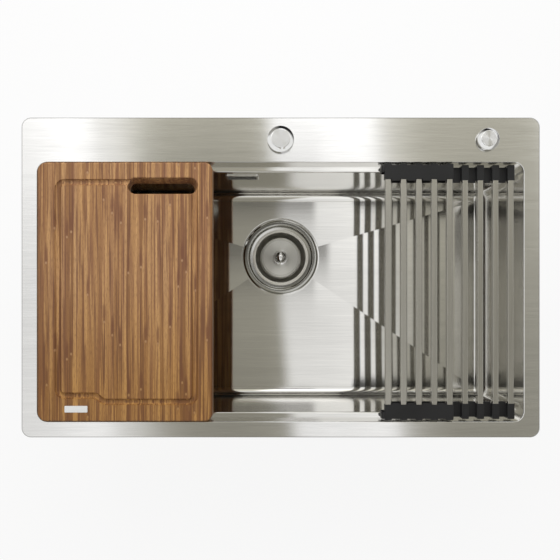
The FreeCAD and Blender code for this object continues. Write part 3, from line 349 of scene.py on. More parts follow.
world = bpy.data.worlds.new("studio")
world.use_nodes = True
bpy.context.scene.world = world
tree = world.node_tree
tree.nodes.clear()
toward = add(tree, "TexCoord").outputs["Generated"]


def facing(tree, toward, middle, edge, core):
    """1 where a ray points at a place on the walls, 0 well away from it."""
    aim = tuple(Vector(middle).normalized())
    closeness = vector(tree, "DOT_PRODUCT", toward, aim)["Value"]
    return ranged(tree, closeness, (edge, core))


wall = mixed(tree, facing(tree, toward, *CURTAIN), DIM_WALL, CURTAIN_BLACK)
for window in WINDOWS:
    wall = mixed(tree, facing(tree, toward, *window), wall, WINDOW_WHITE)
rise = add(tree, "SeparateXYZ", None, {0: toward}).outputs[2]
walls = mixed(tree, ranged(tree, rise, HIGH_FROM), wall, HIGH_WALL)
mirrored = add(tree, "Background", {1: 1.0}, {0: walls}).outputs[0]
matt = add(tree, "Background", {0: MATT_TONE, 1: MATT_LIGHT}).outputs[0]
plain_white = add(tree, "Background", {0: WHITE, 1: 1.0}).outputs[0]
ray = add(tree, "LightPath").outputs
lit = add(tree, "MixShader", None, {0: ray["Is Glossy Ray"], 1: matt, 2: mirrored}).outputs[0]
seen = maths(tree, "MAXIMUM", ray["Is Camera Ray"], ray["Is Transmission Ray"])
final = add(tree, "MixShader", None, {0: seen, 1: lit, 2: plain_white}).outputs[0]
add(tree, "OutputWorld", None, {"Surface": final})
print("studio windows", len(WINDOWS))

# %% [markdown]
# ## Lamp
# One large lamp gives rubber, plastic and bamboo a soft direction of light. It is kept out of
# mirror reflections, because the ceiling above already has its soft boxes.

# %% Lamp
LAMP_PLACE = (-0.1, 1.0, 1.0)
LAMP_SIZE = 1.2
LAMP_POWER = 15.0

lamp_data = bpy.data.lights.new("soft_lamp", "AREA")
lamp_data.shape = "SQUARE"
lamp_data.size = LAMP_SIZE
lamp_data.energy = LAMP_POWER
lamp = in_scene("soft_lamp", lamp_data)
lamp.location = LAMP_PLACE
lamp.rotation_euler = (-Vector(LAMP_PLACE)).to_track_quat("-Z", "Y").to_euler()
lamp.visible_glossy = False
print("lamp", LAMP_POWER, "W")

# %% [markdown]
# ## Floor
# The floor is a pale sheet under the sink. Seen directly or in a mirror it is nearly white,
# but a part of it stays ordinary matt paint, so the sink's shadow is still faintly there.

# %% Floor
FLOOR_HALF = 4.0
FLOOR_DROP = 0.0006  # below the lowest point of the sink
FLOOR_WHITE = 0.88  # share of the floor that is plain white to the camera
PAPER_TONES = ((0.86, 0.86, 0.86), (0.90, 0.90, 0.90))

floor = level_sheet("studio_floor", FLOOR_HALF, SOLID_BOX[0].z - FLOOR_DROP)
floor_finish = bpy.data.materials.new("floor_paper")
floor_finish.use_nodes = True
tree = floor_finish.node_tree
tree.nodes.clear()
grain = add(tree, "TexNoise", {"Scale": 9.0, "Detail": 3.0}).outputs[0]
paper = add(tree, "BsdfDiffuse", None, {"Color": mixed(tree, grain, *PAPER_TONES)}).outputs[0]
glow = add(tree, "Emission", {"Color": WHITE, "Strength": 1.0}).outputs[0]
ray = add(tree, "LightPath").outputs
in_metal_or_glass = maths(tree, "MAXIMUM", ray["Is Glossy Ray"], ray["Is Transmission Ray"])
seen = maths(tree, "MAXIMUM", ray["Is Camera Ray"], in_metal_or_glass)
white = maths(tree, "MULTIPLY", seen, FLOOR_WHITE)
sheet = add(tree, "MixShader", None, {0: white, 1: paper, 2: glow}).outputs[0]
add(tree, "OutputMaterial", None, {"Surface": sheet})
floor.data.materials.append(floor_finish)
print("floor at z", round(floor.location.z, 4))

# %% [markdown]
# ## Brushed steel
# Brushing leaves fine parallel grooves. Light mirrors cleanly along them and smears across
# them, which the shader calls anisotropy: its gloss stretches along the tangent it is given.
# The tangent here is the direction in the surface that crosses the grooves, worked out from
# the surface normal, so one rule serves flat plates, walls and rounded corners. The scratches
# themselves are a noise that is stretched along the grooves, in the object's own metres. It
# varies the colour and the roughness a little and lifts a very low bump.

# %% Brushed steel
def across_grooves(tree, grooves):
    """The direction in the surface that crosses the grooves."""
    normal = add(tree, "NewGeometry").outputs["Normal"]
    return vector(tree, "CROSS_PRODUCT", normal, grooves)[0]


def scratches(tree, scale, detail=2.0):
    """A noise stretched along the grooves; scale is in marks per metre on each axis."""
    stretched = add(tree, "Mapping", {"Scale": scale}, {"Vector": place_of(tree)}).outputs[0]
    return add(tree, "TexNoise", {"Scale": 1.0, "Detail": detail}, {"Vector": stretched}).outputs[0]


def metal(name, colour, roughness, anisotropy):
    """A bare metal with its shader ready for scratches."""
    finish, tree, shader = new_finish(name)
    shader.inputs["Base Color"].default_value = (*colour, 1.0)
    shader.inputs["Metallic"].default_value = 1.0
    shader.inputs["Roughness"].default_value = roughness
    shader.inputs["Anisotropic"].default_value = anisotropy
    return finish, tree, shader


FINE_SHARE = 0.6  # how much of the tone comes from the fine scratches
BRUSHED_TONES = (0.84, 1.16)
BRUSHED_ROUGHNESS = (0.75, 1.3)


def brushed(name, colour, roughness, anisotropy, grooves, fine, broad, depth):
    """Steel brushed along one direction, with fine scratches and broad tone changes."""
    finish, tree, shader = metal(name, colour, roughness, anisotropy)
    lines = scratches(tree, fine)
    fine_part = maths(tree, "MULTIPLY", lines, FINE_SHARE)
    broad_part = maths(tree, "MULTIPLY", scratches(tree, broad), 1 - FINE_SHARE)
    tone = maths(tree, "ADD", fine_part, broad_part)
    dark, pale = (tuple(min(1.0, share * part) for part in colour) for share in BRUSHED_TONES)
    rough = ranged(tree, tone, new=[roughness * share for share in BRUSHED_ROUGHNESS])
    surfaced(tree, shader, mixed(tree, tone, dark, pale), rough, 0.25, depth, lines)
    tree.links.new(across_grooves(tree, grooves), shader.inputs["Tangent"])
    return finish


LENGTHWISE = (1.0, 0.02, 0.0)  # the small second part serves faces that look along X
deck_steel = brushed("deck_steel", (0.80, 0.795, 0.78), 0.130, 1.0, LENGTHWISE,
                     (28.0, 900.0, 900.0), (6.0, 90.0, 90.0), 0.00001)
print("made", deck_steel.name)

# %% [markdown]
# ## The deck's edge
# A pressed plate turns down along its rim, and there it catches no light from above. That shade
# is painted into the steel's colour as a thin darker line, which makes the plate stand out from
# a white ground. It follows the plate's rounded rectangle, so the material works out how far
# each point lies inside that outline.

# %% Deck edge
DECK_HALF = (0.405, 0.250)
DECK_MIDDLE_Y = 0.0225
DECK_CORNER = 0.015
# painted shade: the steel's colour darkens over this band inside the plate's outline
EDGE_SHADE_LINE = (-0.0022, -0.0010)  # where the line begins and where it is darkest
EDGE_SHADE_TONE = 0.55

tree = deck_steel.node_tree
shader = tree.nodes["Principled BSDF"]
steel_colour = shader.inputs["Base Color"].links[0].from_socket
axes = axes_of(tree)
from_middle = (axes[0], maths(tree, "SUBTRACT", axes[1], DECK_MIDDLE_Y))
past = []  # how far the point lies past the straight part of each side
for place, half in zip(from_middle, DECK_HALF):
    past.append(maths(tree, "SUBTRACT", maths(tree, "ABSOLUTE", place), half - DECK_CORNER))
inner = maths(tree, "MINIMUM", maths(tree, "MAXIMUM", past[0], past[1]), 0.0)
squares = [maths(tree, "POWER", maths(tree, "MAXIMUM", item, 0.0), 2.0) for item in past]
outer = maths(tree, "SQRT", maths(tree, "ADD", squares[0], squares[1]))
outside = maths(tree, "SUBTRACT", maths(tree, "ADD", inner, outer), DECK_CORNER)
# painted shade: the colour darkens towards the plate's outline, where the rim turns down
tone = mixed(tree, ranged(tree, outside, EDGE_SHADE_LINE), (1.0,) * 3, (EDGE_SHADE_TONE,) * 3)
tree.links.new(multiplied(tree, steel_colour, tone), shader.inputs["Base Color"])
print("deck edge line", EDGE_SHADE_LINE)

# %% [markdown]
# ## The bowl's steel
# The bowl is brushed lengthwise too, but more finely: the photograph shows the rods and the
# board mirrored in its floor with clean upright edges. The same recipe serves, with a lower
# roughness and fainter scratches. The rack's rods, which are brushed crosswise, the
# overflow's frame and the board's small plate are duller.

# %% Bowl, rods and small steel
bowl_steel = brushed("bowl_steel", (0.77, 0.76, 0.73), 0.085, 1.0, LENGTHWISE,
                     (12.0, 650.0, 650.0), (3.0, 60.0, 60.0), 0.000004)

CROSSWISE = (0.02, 1.0, 0.0)
rod_steel = brushed("rod_steel", (0.45, 0.435, 0.39), 0.22, 0.80, CROSSWISE,
                    (1600.0, 16.0, 1600.0), (300.0, 5.0, 300.0), 0.00002)
frame_steel = brushed("frame_steel", (0.74, 0.73, 0.70), 0.24, 0.50, LENGTHWISE,
                      (30.0, 1500.0, 1500.0), (6.0, 90.0, 90.0), 0.00002)
plate_steel = brushed("plate_steel", (0.78, 0.78, 0.77), 0.30, 0.70, LENGTHWISE,
                      (40.0, 2500.0, 2500.0), (9.0, 120.0, 120.0), 0.00002)
print("made", [finish.name for finish in (bowl_steel, rod_steel, frame_steel, plate_steel)])

# %% [markdown]
# ## Lathe-turned steel
# The strainer parts are spun on a lathe, so their grooves are circles round the drain. The
# groove direction at any point is square to the line from the axis, which a few vector nodes
# work out. Gloss then stretches outward from the middle, as turned metal shows it. The fine
# rings are a noise that reads only the distance from the axis and the height. A ramp over that
# distance paints shade and reflections into the metal's colour, ring by ring: darker creases
# between the steps, and the dark rings that the steps mirror. The hole covers use the same
# recipe, with no painted rings, satin inside and polished from a given distance outward.

# %% Turned steel
DRAIN_AXIS = (0.0, 0.07, 0.0)
RING_REACH = 0.080  # the ramps run from the axis to this distance
NO_PAINTED_RINGS = ((0.0, 1.0), (RING_REACH, 1.0))
TURNED_DARK = 0.86
SOFT_ROUGHNESS = (0.8, 1.25)  # the roughness varies between these shares of itself
POLISHED = 0.12  # share of the roughness that polishing leaves
POLISH_EDGE = 0.0004


def turned(name, colour, roughness, anisotropy, rings, depth, painted_rings=NO_PAINTED_RINGS,
           axis=DRAIN_AXIS, polished_from=None):
    """Steel turned about an upright axis, with a painted shade for each distance from it."""
    finish, tree, shader = metal(name, colour, roughness, anisotropy)
    offset = vector(tree, "SUBTRACT", place_of(tree), axis)[0]
    outward = vector(tree, "MULTIPLY", offset, (1.0, 1.0, 0.0))[0]
    circling = vector(tree, "CROSS_PRODUCT", (0.0, 0.0, 1.0), outward)[0]
    normal = add(tree, "NewGeometry").outputs["Normal"]
    tree.links.new(vector(tree, "CROSS_PRODUCT", normal, circling)[0], shader.inputs["Tangent"])
    radius = vector(tree, "LENGTH", outward)["Value"]
    noise = {"Scale": rings, "Detail": 3.0}
    turn = maths(tree, "ADD", radius, axes_of(tree)[2])
    lines = add(tree, "TexNoise", noise, {"W": turn}, noise_dimensions="1D").outputs[0]
    dark = tuple(TURNED_DARK * part for part in colour)
    stops = []
    for distance, tone in painted_rings:
        stops.append((distance / RING_REACH, (tone, tone, tone * (0.9 + 0.1 * tone))))
    # painted shade: the ramp darkens the colour ring by ring, in the creases and on the rings that
    # mirror dark
    painted_ring_shade = ramp(tree, maths(tree, "DIVIDE", radius, RING_REACH), stops)
    scratched_and_shaded = multiplied(tree, mixed(tree, lines, dark, colour), painted_ring_shade)
    rough = ranged(tree, lines, new=[roughness * share for share in SOFT_ROUGHNESS])
    if polished_from:
        edge = (polished_from, polished_from + POLISH_EDGE)
        rough = maths(tree, "MULTIPLY", rough, ranged(tree, radius, edge, (1.0, POLISHED)))
    surfaced(tree, shader, scratched_and_shaded, rough, 0.35, depth, lines)
    return finish


# painted shade and painted reflections, ring by ring: a distance from the axis in metres and the share
# of the colour kept there; low shares paint the creases' shade and the dark mirrored rings
FLANGE_PAINTED_RINGS = (
    (0.0, 0.30), (0.0470, 0.35), (0.0482, 0.20), (0.0498, 0.95), (0.0568, 1.0), (0.0580, 0.35),
    (0.0592, 0.30), (0.0605, 0.72), (0.0670, 0.72), (0.0677, 0.34), (0.0694, 0.34),
    (0.0702, 1.0), (0.0800, 1.0),
)
BASKET_PAINTED_RINGS = (
    (0.0, 0.8), (0.0400, 1.0), (0.0466, 1.0), (0.0474, 0.40), (0.0482, 1.0), (0.0800, 1.0),
)
LID_PAINTED_RINGS = (
    (0.0, 0.95), (0.0330, 0.95), (0.0334, 0.62), (0.0340, 0.85), (0.0366, 0.80), (0.0371, 1.0),
    (0.0800, 1.0),
)
flange_steel = turned("flange_steel", (0.78, 0.77, 0.74), 0.10, 0.40, 700.0, 0.00001,
                      FLANGE_PAINTED_RINGS)
basket_steel = turned("basket_steel", (0.86, 0.84, 0.78), 0.42, 0.30, 700.0, 0.00001,
                      BASKET_PAINTED_RINGS)
lid_steel = turned("lid_steel", (0.80, 0.79, 0.75), 0.34, 0.97, 1400.0, 0.00002, LID_PAINTED_RINGS)
print("made", [finish.name for finish in (flange_steel, basket_steel, lid_steel)])

# %% [markdown]
# ## Chrome and zinc
# Chrome is a mirror with hardly any scatter. A perfect mirror looks drawn, so a faint noise
# gives it the slight waviness of plating. Zinc plating on the clips and wing nuts is duller,
# with small crystalline patches, for which a cell texture is the natural choice.

# %% Chrome and zinc
WAVE_SCALE = 260.0  # waves of the plating, per metre


def plated(name, colour, roughness, patch_scale, patch_share, wave):
    """A plated metal, with patches that differ a little in tone and gloss."""
    finish, tree, shader = metal(name, colour, roughness, 0.0)
    here = place_of(tree)
    cells = add(tree, "TexVoronoi", {"Scale": patch_scale}, {"Vector": here}).outputs["Color"]
    patch = add(tree, "SeparateColor", None, {0: cells}).outputs[0]
    dark = tuple((1 - patch_share) * part for part in colour)
    rough = ranged(tree, patch, new=[roughness * share for share in SOFT_ROUGHNESS])
    waves = {"Scale": WAVE_SCALE, "Detail": 2.0}
    ripple = add(tree, "TexNoise", waves, {"Vector": here}).outputs[0]
    surfaced(tree, shader, mixed(tree, patch, dark, colour), rough, 0.2, wave, ripple)
    return finish


chrome = plated("chrome", (0.86, 0.86, 0.86), 0.05, 60.0, 0.02, 0.00002)
zinc = plated("zinc", (0.62, 0.62, 0.61), 0.34, 420.0, 0.22, 0.00005)
print("made", chrome.name, zinc.name)

# %% [markdown]
# ## Rubber, silicone and plastic
# These are all dark or grey, matt and slightly uneven, and differ in how they scatter light.
# One recipe takes a colour, a roughness and the size of the unevenness. Sound pads are
# coarser than seals, and silicone has a soft velvet edge, which is the shader's sheen.

# %% Rubber, silicone and plastic
CLOUD_SCALE = 22.0  # broad patches, per metre
SKIN_ROUGHNESS = 0.08  # the roughness varies by this much either way


def moulded(name, colour, roughness, grain, depth, sheen=0.0, gloss=0.5, cloudy=0.2):
    """A moulded soft or hard plastic with a fine uneven skin."""
    finish, tree, shader = new_finish(name)
    shader.inputs["Sheen Weight"].default_value = sheen
    shader.inputs["Sheen Roughness"].default_value = 0.4
    shader.inputs["Specular IOR Level"].default_value = gloss
    here = place_of(tree)
    skin = add(tree, "TexNoise", {"Scale": grain, "Detail": 4.0}, {"Vector": here}).outputs[0]
    clouds = {"Scale": CLOUD_SCALE, "Detail": 2.0}
    cloud = add(tree, "TexNoise", clouds, {"Vector": here}).outputs[0]
    dark, pale = (tuple(share * part for part in colour) for share in (1 - cloudy, 1 + cloudy))
    rough = ranged(tree, skin, new=(roughness - SKIN_ROUGHNESS, roughness + SKIN_ROUGHNESS))
    surfaced(tree, shader, mixed(tree, cloud, dark, pale), rough, 0.5, depth, skin)
    return finish


silicone = moulded("silicone", (0.012, 0.012, 0.0125), 0.42, 900.0, 0.00005, 0.03, 0.32, 0.45)
seal_rubber = moulded("seal_rubber", (0.020, 0.020, 0.020), 0.62, 700.0, 0.0001)
pad_rubber = moulded("pad_rubber", (0.075, 0.075, 0.078), 0.85, 380.0, 0.0005)
waste_plastic = moulded("waste_plastic", (0.20, 0.21, 0.22), 0.42, 600.0, 0.0001)
hose_plastic = moulded("hose_plastic", (0.60, 0.60, 0.58), 0.38, 500.0, 0.00008)
soft_finishes = (silicone, seal_rubber, pad_rubber, waste_plastic, hose_plastic)
print("made", [finish.name for finish in soft_finishes])

# %% [markdown]
# ## Bamboo
# The board is glued up from upright strips of bamboo, a few millimetres wide, that run from
# front to rear. Each strip has its own tone: the strip's number is the place across the board,
# rounded down, and a white noise turns that number into a shade. A slow noise bends the strips
# slightly, because no real one is quite straight. Over them lie fibres of several sizes, all
# noises stretched along the board: reddish bands, dark veins, golden veins and short pores.

# %% Bamboo strips and fibres
STRIP_WIDTH = 0.0064
STRIP_BEND = 0.005  # most that a strip wanders sideways
bamboo, tree, shader = new_finish("bamboo")
shader.inputs["Specular IOR Level"].default_value = 0.3
axes = axes_of(tree)
bend = scratches(tree, (40.0, 6.0, 40.0), 1.0)
bent_x = maths(tree, "ADD", axes[0], maths(tree, "MULTIPLY", bend, STRIP_BEND))
strip = maths(tree, "FLOOR", maths(tree, "DIVIDE", bent_x, STRIP_WIDTH))
shade = add(tree, "TexWhiteNoise", None, {"W": strip}, noise_dimensions="1D").outputs["Value"]
strip_colour = ramp(tree, shade, (
    (0.0, (0.245, 0.117, 0.045)), (0.35, (0.335, 0.168, 0.064)), (0.75, (0.440, 0.236, 0.095)),
    (1.0, (0.550, 0.318, 0.142)),
))


def streaked(tree, colour, scale, limits, share, streak_colour):
    """A colour with streaks along the board laid over it, where a stretched noise is high."""
    amount = ranged(tree, scratches(tree, scale), limits, (0.0, share))
    return mixed(tree, amount, colour, streak_colour)


reddish = streaked(tree, strip_colour, (120.0, 4.0, 120.0), (0.46, 0.64), 0.60, (0.210, 0.088, 0.046))
veined = streaked(tree, reddish, (330.0, 6.0, 330.0), (0.50, 0.62), 0.80, (0.150, 0.062, 0.034))
golden = streaked(tree, veined, (260.0, 5.0, 270.0), (0.54, 0.64), 0.80, (0.560, 0.315, 0.130))
pored = streaked(tree, golden, (900.0, 110.0, 900.0), (0.48, 0.70), 0.45, (0.170, 0.078, 0.040))
board_low, board_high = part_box("cutting_board")
print("bamboo strips across the board:", round((board_high.x - board_low.x) / STRIP_WIDTH))

# %% [markdown]
# ## Knuckles
# Where the cane had a joint, a strip shows a small pale tick with a long brown shadow beside
# it. Only some of the strips show theirs. Its place along the strip comes from a white noise
# of the strip's number, and the distance from that place, squeezed across, makes an oval. The
# last tint paints shade into the board's front: it is darker and more golden than the rear, as
# the light from the rear falls off towards it.

# %% Bamboo knuckles and finish
KNUCKLE_SPACING = 0.190
SHOWING = 0.42  # share of the strips whose knuckles show
OVAL_EDGE = (0.1, 1.2)  # a knuckle fades out between these shares of its size, squared
# painted shade at the front: a darker, more golden tint that stands in for the light falling off from
# the rear
FRONT_SHADE_TINT = (0.90, 0.83, 0.56)
FRONT_SHADE_FROM, FRONT_SHADE_FULL = 0.02, -0.16  # y where the front's tint begins and is full
BAMBOO_ROUGHNESS = (0.44, 0.62)
FIBRE_DEPTH = 0.00015


def strip_chance(tree, offset):
    """A number from 0 to 1 that is the same all along a strip; each offset gives another."""
    source = {"W": maths(tree, "ADD", strip, offset)}
    return add(tree, "TexWhiteNoise", None, source, noise_dimensions="1D").outputs["Value"]


strips_over = maths(tree, "FRACT", maths(tree, "DIVIDE", bent_x, STRIP_WIDTH))
in_strip = maths(tree, "SUBTRACT", strips_over, 0.5)
spaces_along = maths(tree, "DIVIDE", axes[1], KNUCKLE_SPACING)
spaces_over = maths(tree, "FRACT", maths(tree, "ADD", spaces_along, strip_chance(tree, 71.5)))
from_joint = maths(tree, "SUBTRACT", spaces_over, 0.5)
shows = maths(tree, "LESS_THAN", strip_chance(tree, 13.5), SHOWING)


def oval(tree, offset, half_width, half_length, share):
    """A share inside a soft oval, this far along the strip from its joint."""
    away = maths(tree, "SUBTRACT", from_joint, offset / KNUCKLE_SPACING)
    lengthwise = maths(tree, "MULTIPLY", away, KNUCKLE_SPACING / half_length)
    sideways = maths(tree, "MULTIPLY", in_strip, STRIP_WIDTH / half_width)
    squares = [maths(tree, "MULTIPLY", side, side) for side in (sideways, lengthwise)]
    inside = ranged(tree, maths(tree, "ADD", *squares), OVAL_EDGE, (share, 0.0))
    return maths(tree, "MULTIPLY", inside, shows)


shadowed = mixed(tree, oval(tree, 0.013, 0.0030, 0.018, 0.72), pored, (0.165, 0.066, 0.034))
ringed = mixed(tree, oval(tree, 0.001, 0.0024, 0.0034, 0.60), shadowed, (0.175, 0.075, 0.036))
marked = mixed(tree, oval(tree, 0.0, 0.0018, 0.0026, 0.60), ringed, (0.560, 0.340, 0.180))
# painted shade: the board's colour is darkened and warmed towards the front
front_shade_share = ranged(tree, axes[1], (FRONT_SHADE_FROM, FRONT_SHADE_FULL))
painted_front_shade = mixed(tree, front_shade_share, (1.0, 1.0, 1.0), FRONT_SHADE_TINT)
fibre = scratches(tree, (700.0, 9.0, 700.0), 3.0)
rough = ranged(tree, fibre, new=BAMBOO_ROUGHNESS)
surfaced(tree, shader, multiplied(tree, marked, painted_front_shade), rough, 0.35, FIBRE_DEPTH, fibre)
print("made", bamboo.name)

# %% [markdown]
# ## Dress the solids
# Most solids already have their right shape, so they only swap their stand-in material for a
# finish. The table goes finish by finish, the way a factory sorts its parts. What it leaves
# out is remade in the steps that follow.

# %% Dress the solids
COVERS = ("tap", "accessory")
RODS = 14
rods = ["rack_rod_%02d" % number for number in range(1, RODS + 1)]
finishes = {
    deck_steel: ["deck_plate"],
    bowl_steel: ["bowl_body"],
    basket_steel: ["stopper_stem"],
    lid_steel: ["stopper_plate"],
    chrome: ["stopper_knob"],
    frame_steel: ["overflow_frame"],
    plate_steel: ["name_plate"],
    rod_steel: rods,
    zinc: ["clip_brackets", "rim_clips", "clip_screws"] + [name + "_cover_wing_nut" for name in COVERS],
    seal_rubber: ["rim_seal", "upper_seal", "lower_seal", "body_seal", "overflow_gasket",
                  "stopper_seal"] + [name + "_cover_seal" for name in COVERS],
    pad_rubber: ["wall_pads", "floor_pads"],
    waste_plastic: ["lock_nut", "waste_body", "overflow_housing", "hose_nut_upper",
                    "hose_nut_lower"] + [name + "_cover_washer" for name in COVERS],
    bamboo: ["cutting_board"],
}
dressed = set()
for finish, names in finishes.items():
    for name in names:
        for slot in nodes[name].material_slots:
            slot.material = finish
        dressed.add(name)
print("dressed", len(dressed), "left to remake", sorted(set(nodes) - dressed))

# %% [markdown]
# ## A lathe
# The hole covers and the strainer's pieces are round, so each is a profile turned about an
# upright axis. The profile is a row of corners in millimetres, each with its distance from
# the axis, its height and a rounding. Round corners matter more than their size: they draw
# the thin bright circles that tell turned metal from a drawing. The profile is turned in many
# narrow steps, and an edge stays crisp wherever two faces meet at more than a slight angle.

# %% Lathe
MM = 1000.0
SIDES = 160
CRISP_FROM = math.radians(28)


def smooth(mesh):
    """Every face of the mesh shaded smoothly."""
    for face in mesh.polygons:
        face.use_smooth = True


def shaped(name, work):
    """The mesh that was worked on, as a smooth object in the scene."""
    mesh = bpy.data.meshes.new(name)
    work.to_mesh(mesh)
    work.free()
    smooth(mesh)
    return in_scene(name, mesh)


def rounded(corners, steps=4):
    """The profile with every corner that has a rounding cut by a small curve."""
    points = []
    for place, (radius, height, ease) in enumerate(corners):
        here = Vector((radius, height))
        if not ease:
            points.append(here)
            continue
        before = Vector(corners[place - 1][:2])
        after = Vector(corners[(place + 1) % len(corners)][:2])
        start = here + (before - here).normalized() * ease
        end = here + (after - here).normalized() * ease
        for step in range(steps + 1):
            share = step / steps
            points.append(start.lerp(here, share).lerp(here.lerp(end, share), share))
    return points


def on_circle(middle, radius, share, height):
    """A point round an upright axis, a share of the whole turn from the X direction."""
    angle = 2 * math.pi * share
    return (middle[0] + radius * math.cos(angle), middle[1] + radius * math.sin(angle), height)


def lathe(name, corners, axis):
    """A closed profile turned about an upright axis; a corner on the axis is one point."""
    work = bmesh.new()
    rings = []
    for point in rounded(corners):
        radius, height = point.x / MM, point.y / MM
        count = SIDES if radius > 0 else 1
        places = [on_circle(axis, radius, side / SIDES, height) for side in range(count)]
        rings.append([work.verts.new(place) for place in places])
    for first, second in zip(rings, rings[1:] + rings[:1]):
        if len(first) == 1 and len(second) == 1:
            continue
        for side in range(SIDES):
            around = (side + 1) % SIDES
            corner_row = [first[side % len(first)], first[around % len(first)],
                          second[around % len(second)], second[side % len(second)]]
            work.faces.new(list(dict.fromkeys(corner_row)))
    bmesh.ops.recalc_face_normals(work, faces=work.faces)
    return shaped(name, work)


def placed(piece, finish, node, body):
    """The turned piece gets its finish, stands in for its solid and rides on its body."""
    smooth(piece.data)
    piece.data.set_sharp_from_angle(angle=CRISP_FROM)
    piece.data.materials.append(finish)
    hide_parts(node)
    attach(piece, body)
    print(piece.name, len(piece.data.vertices), "points")


eased_corner = rounded([(0, 0, 0), (10, 0, 1), (10, 5, 0)])
print("a rounded corner becomes", len(eased_corner) - 2, "points")

# %% [markdown]
# ## Hole covers
# Each cover is a button: a bevelled ring round a flat satin top, on a stud that reaches down
# through the deck. The bevel is what makes it sparkle, because each part of its circle mirrors
# another side of the room. The top is turned satin, so its finish is the lathe's.

# %% Hole covers
COVER_FOOT_Z = 5.0  # on its seal, in millimetres
COVER_HEIGHT = 10.0
COVER_BEVEL_H = 4.2
COVER_EASE = 0.8
STUD_R, STUD_FOOT_Z, STUD_EASE = 4.0, -35.0, 0.6
COVER_RADII = {"tap": (20.75, 14.8), "accessory": (17.25, 12.2)}  # outside and top
SATIN_MARGIN = 0.0007  # the satin ends this far inside the top's edge, in metres

for name in COVERS:
    outside_r, top_r = COVER_RADII[name]
    low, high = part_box(name + "_cover")
    middle = ((low.x + high.x) / 2, (low.y + high.y) / 2, 0.0)
    finish = turned(name + "_cover_chrome", (0.84, 0.84, 0.84), 0.36, 0.95, 1500.0, 0.00001,
                    axis=middle, polished_from=top_r / MM - SATIN_MARGIN)
    top_z = COVER_FOOT_Z + COVER_HEIGHT
    cap = lathe(name + "_cover_cap", [
        (0, STUD_FOOT_Z, 0), (STUD_R, STUD_FOOT_Z, STUD_EASE), (STUD_R, COVER_FOOT_Z, 0),
        (outside_r, COVER_FOOT_Z, 0), (outside_r, top_z - COVER_BEVEL_H, COVER_EASE),
        (top_r, top_z, COVER_EASE), (0, top_z, 0),
    ], middle)
    placed(cap, finish, name + "_cover", "sink")

# %% [markdown]
# ## Strainer ring and cup
# One sheet makes the ring that lies in the bowl's floor, the sloping step inside it, the seat
# for the basket and the cup below. The ring's outer edge is bevelled down towards the bowl,
# so no crumb can hide behind it. Each corner takes the rounding that a press would leave.

# %% Strainer ring and cup
RING_Z, RING_FOOT_Z = -230.8, -232.0  # heights and radii here are in millimetres
SEAT_Z = -236.0
CUP_FOOT_Z = -278.0
SHEET = 1.2
STEP_OUT_R, STEP_IN_R, CUP_R, OUTLET_R = 61.0, 58.8, 50.0, 26.0
LIP_R, LIP_W, LIP_T = 71.0, 3.0, 0.5

ring_and_cup = lathe("strainer_ring", [
    (LIP_R, RING_FOOT_Z, 0), (LIP_R, RING_FOOT_Z + LIP_T, 0), (LIP_R - LIP_W, RING_Z, 1.0),
    (STEP_OUT_R, RING_Z, 1.0), (STEP_IN_R, SEAT_Z, 1.5), (CUP_R, SEAT_Z, 1.0), (CUP_R, CUP_FOOT_Z, 0),
    (OUTLET_R, CUP_FOOT_Z, 0), (OUTLET_R, CUP_FOOT_Z - SHEET, 0), (CUP_R + SHEET, CUP_FOOT_Z - SHEET, 0),
    (CUP_R + SHEET, SEAT_Z - SHEET, 0), (STEP_OUT_R + SHEET, SEAT_Z - SHEET, 0),
    (STEP_OUT_R + SHEET, RING_FOOT_Z, 0),
], DRAIN_AXIS)
placed(ring_and_cup, flange_steel, "strainer_flange", "sink")

# %% [markdown]
# ## Strainer basket
# The basket hangs in the cup by a flat rim. Its wall is plain and its floor is drilled in four
# rings of holes, with a bush in the middle for the lid's stem. The holes are cut with one
# boolean, whose cutter is all of the drills in a single mesh. Its result becomes the basket's
# own mesh, and the drills are thrown away.

# %% Strainer basket
BASKET_FOOT_Z, BASKET_RIM_Z = -261.5, -235.0
RIM_R, WALL_R, FOOT_R, THIN = 53.0, 48.4, 41.0, 1.0
BUSH_R, BUSH_BORE_R, BUSH_TOP_Z = 7.0, 4.08, -249.5
HOLE_R, DRILL_SIDES = 2.0, 20
HOLE_RINGS = ((13.0, 9), (20.0, 14), (27.0, 19), (34.0, 24))  # ring radius and how many holes


def drill_rings():
    """All of the drills, standing in the basket's floor, as one object."""
    work = bmesh.new()
    middle_z = (BASKET_FOOT_Z + THIN / 2) / MM
    for ring_r, count in HOLE_RINGS:
        for number in range(count):
            spot = Vector(on_circle(DRAIN_AXIS, ring_r / MM, number / count, middle_z))
            bmesh.ops.create_cone(work, cap_ends=True, segments=DRILL_SIDES, radius1=HOLE_R / MM,
                                  radius2=HOLE_R / MM, depth=3 * THIN / MM,
                                  matrix=Matrix.Translation(spot))
    return shaped("drills", work)


basket = lathe("drilled_basket", [
    (BUSH_R, BASKET_FOOT_Z, 0), (FOOT_R, BASKET_FOOT_Z, 0.8), (WALL_R, SEAT_Z, 0),
    (RIM_R, SEAT_Z, 0.3), (RIM_R, BASKET_RIM_Z, 0.3), (WALL_R - THIN, BASKET_RIM_Z, 0.9),
    (FOOT_R - THIN, BASKET_FOOT_Z + THIN, 0.8), (BUSH_R, BASKET_FOOT_Z + THIN, 0),
    (BUSH_R, BUSH_TOP_Z, 0.5), (BUSH_BORE_R, BUSH_TOP_Z, 0.3), (BUSH_BORE_R, BASKET_FOOT_Z, 0),
], DRAIN_AXIS)
drills = drill_rings()
cut = basket.modifiers.new("drilled", "BOOLEAN")
cut.operation, cut.solver, cut.object = "DIFFERENCE", "EXACT", drills
worked_out = basket.evaluated_get(bpy.context.evaluated_depsgraph_get())
drilled = bpy.data.meshes.new_from_object(worked_out)
basket.modifiers.clear()
basket.data = drilled
bpy.data.objects.remove(drills)
placed(basket, basket_steel, "strainer_basket", "basket")

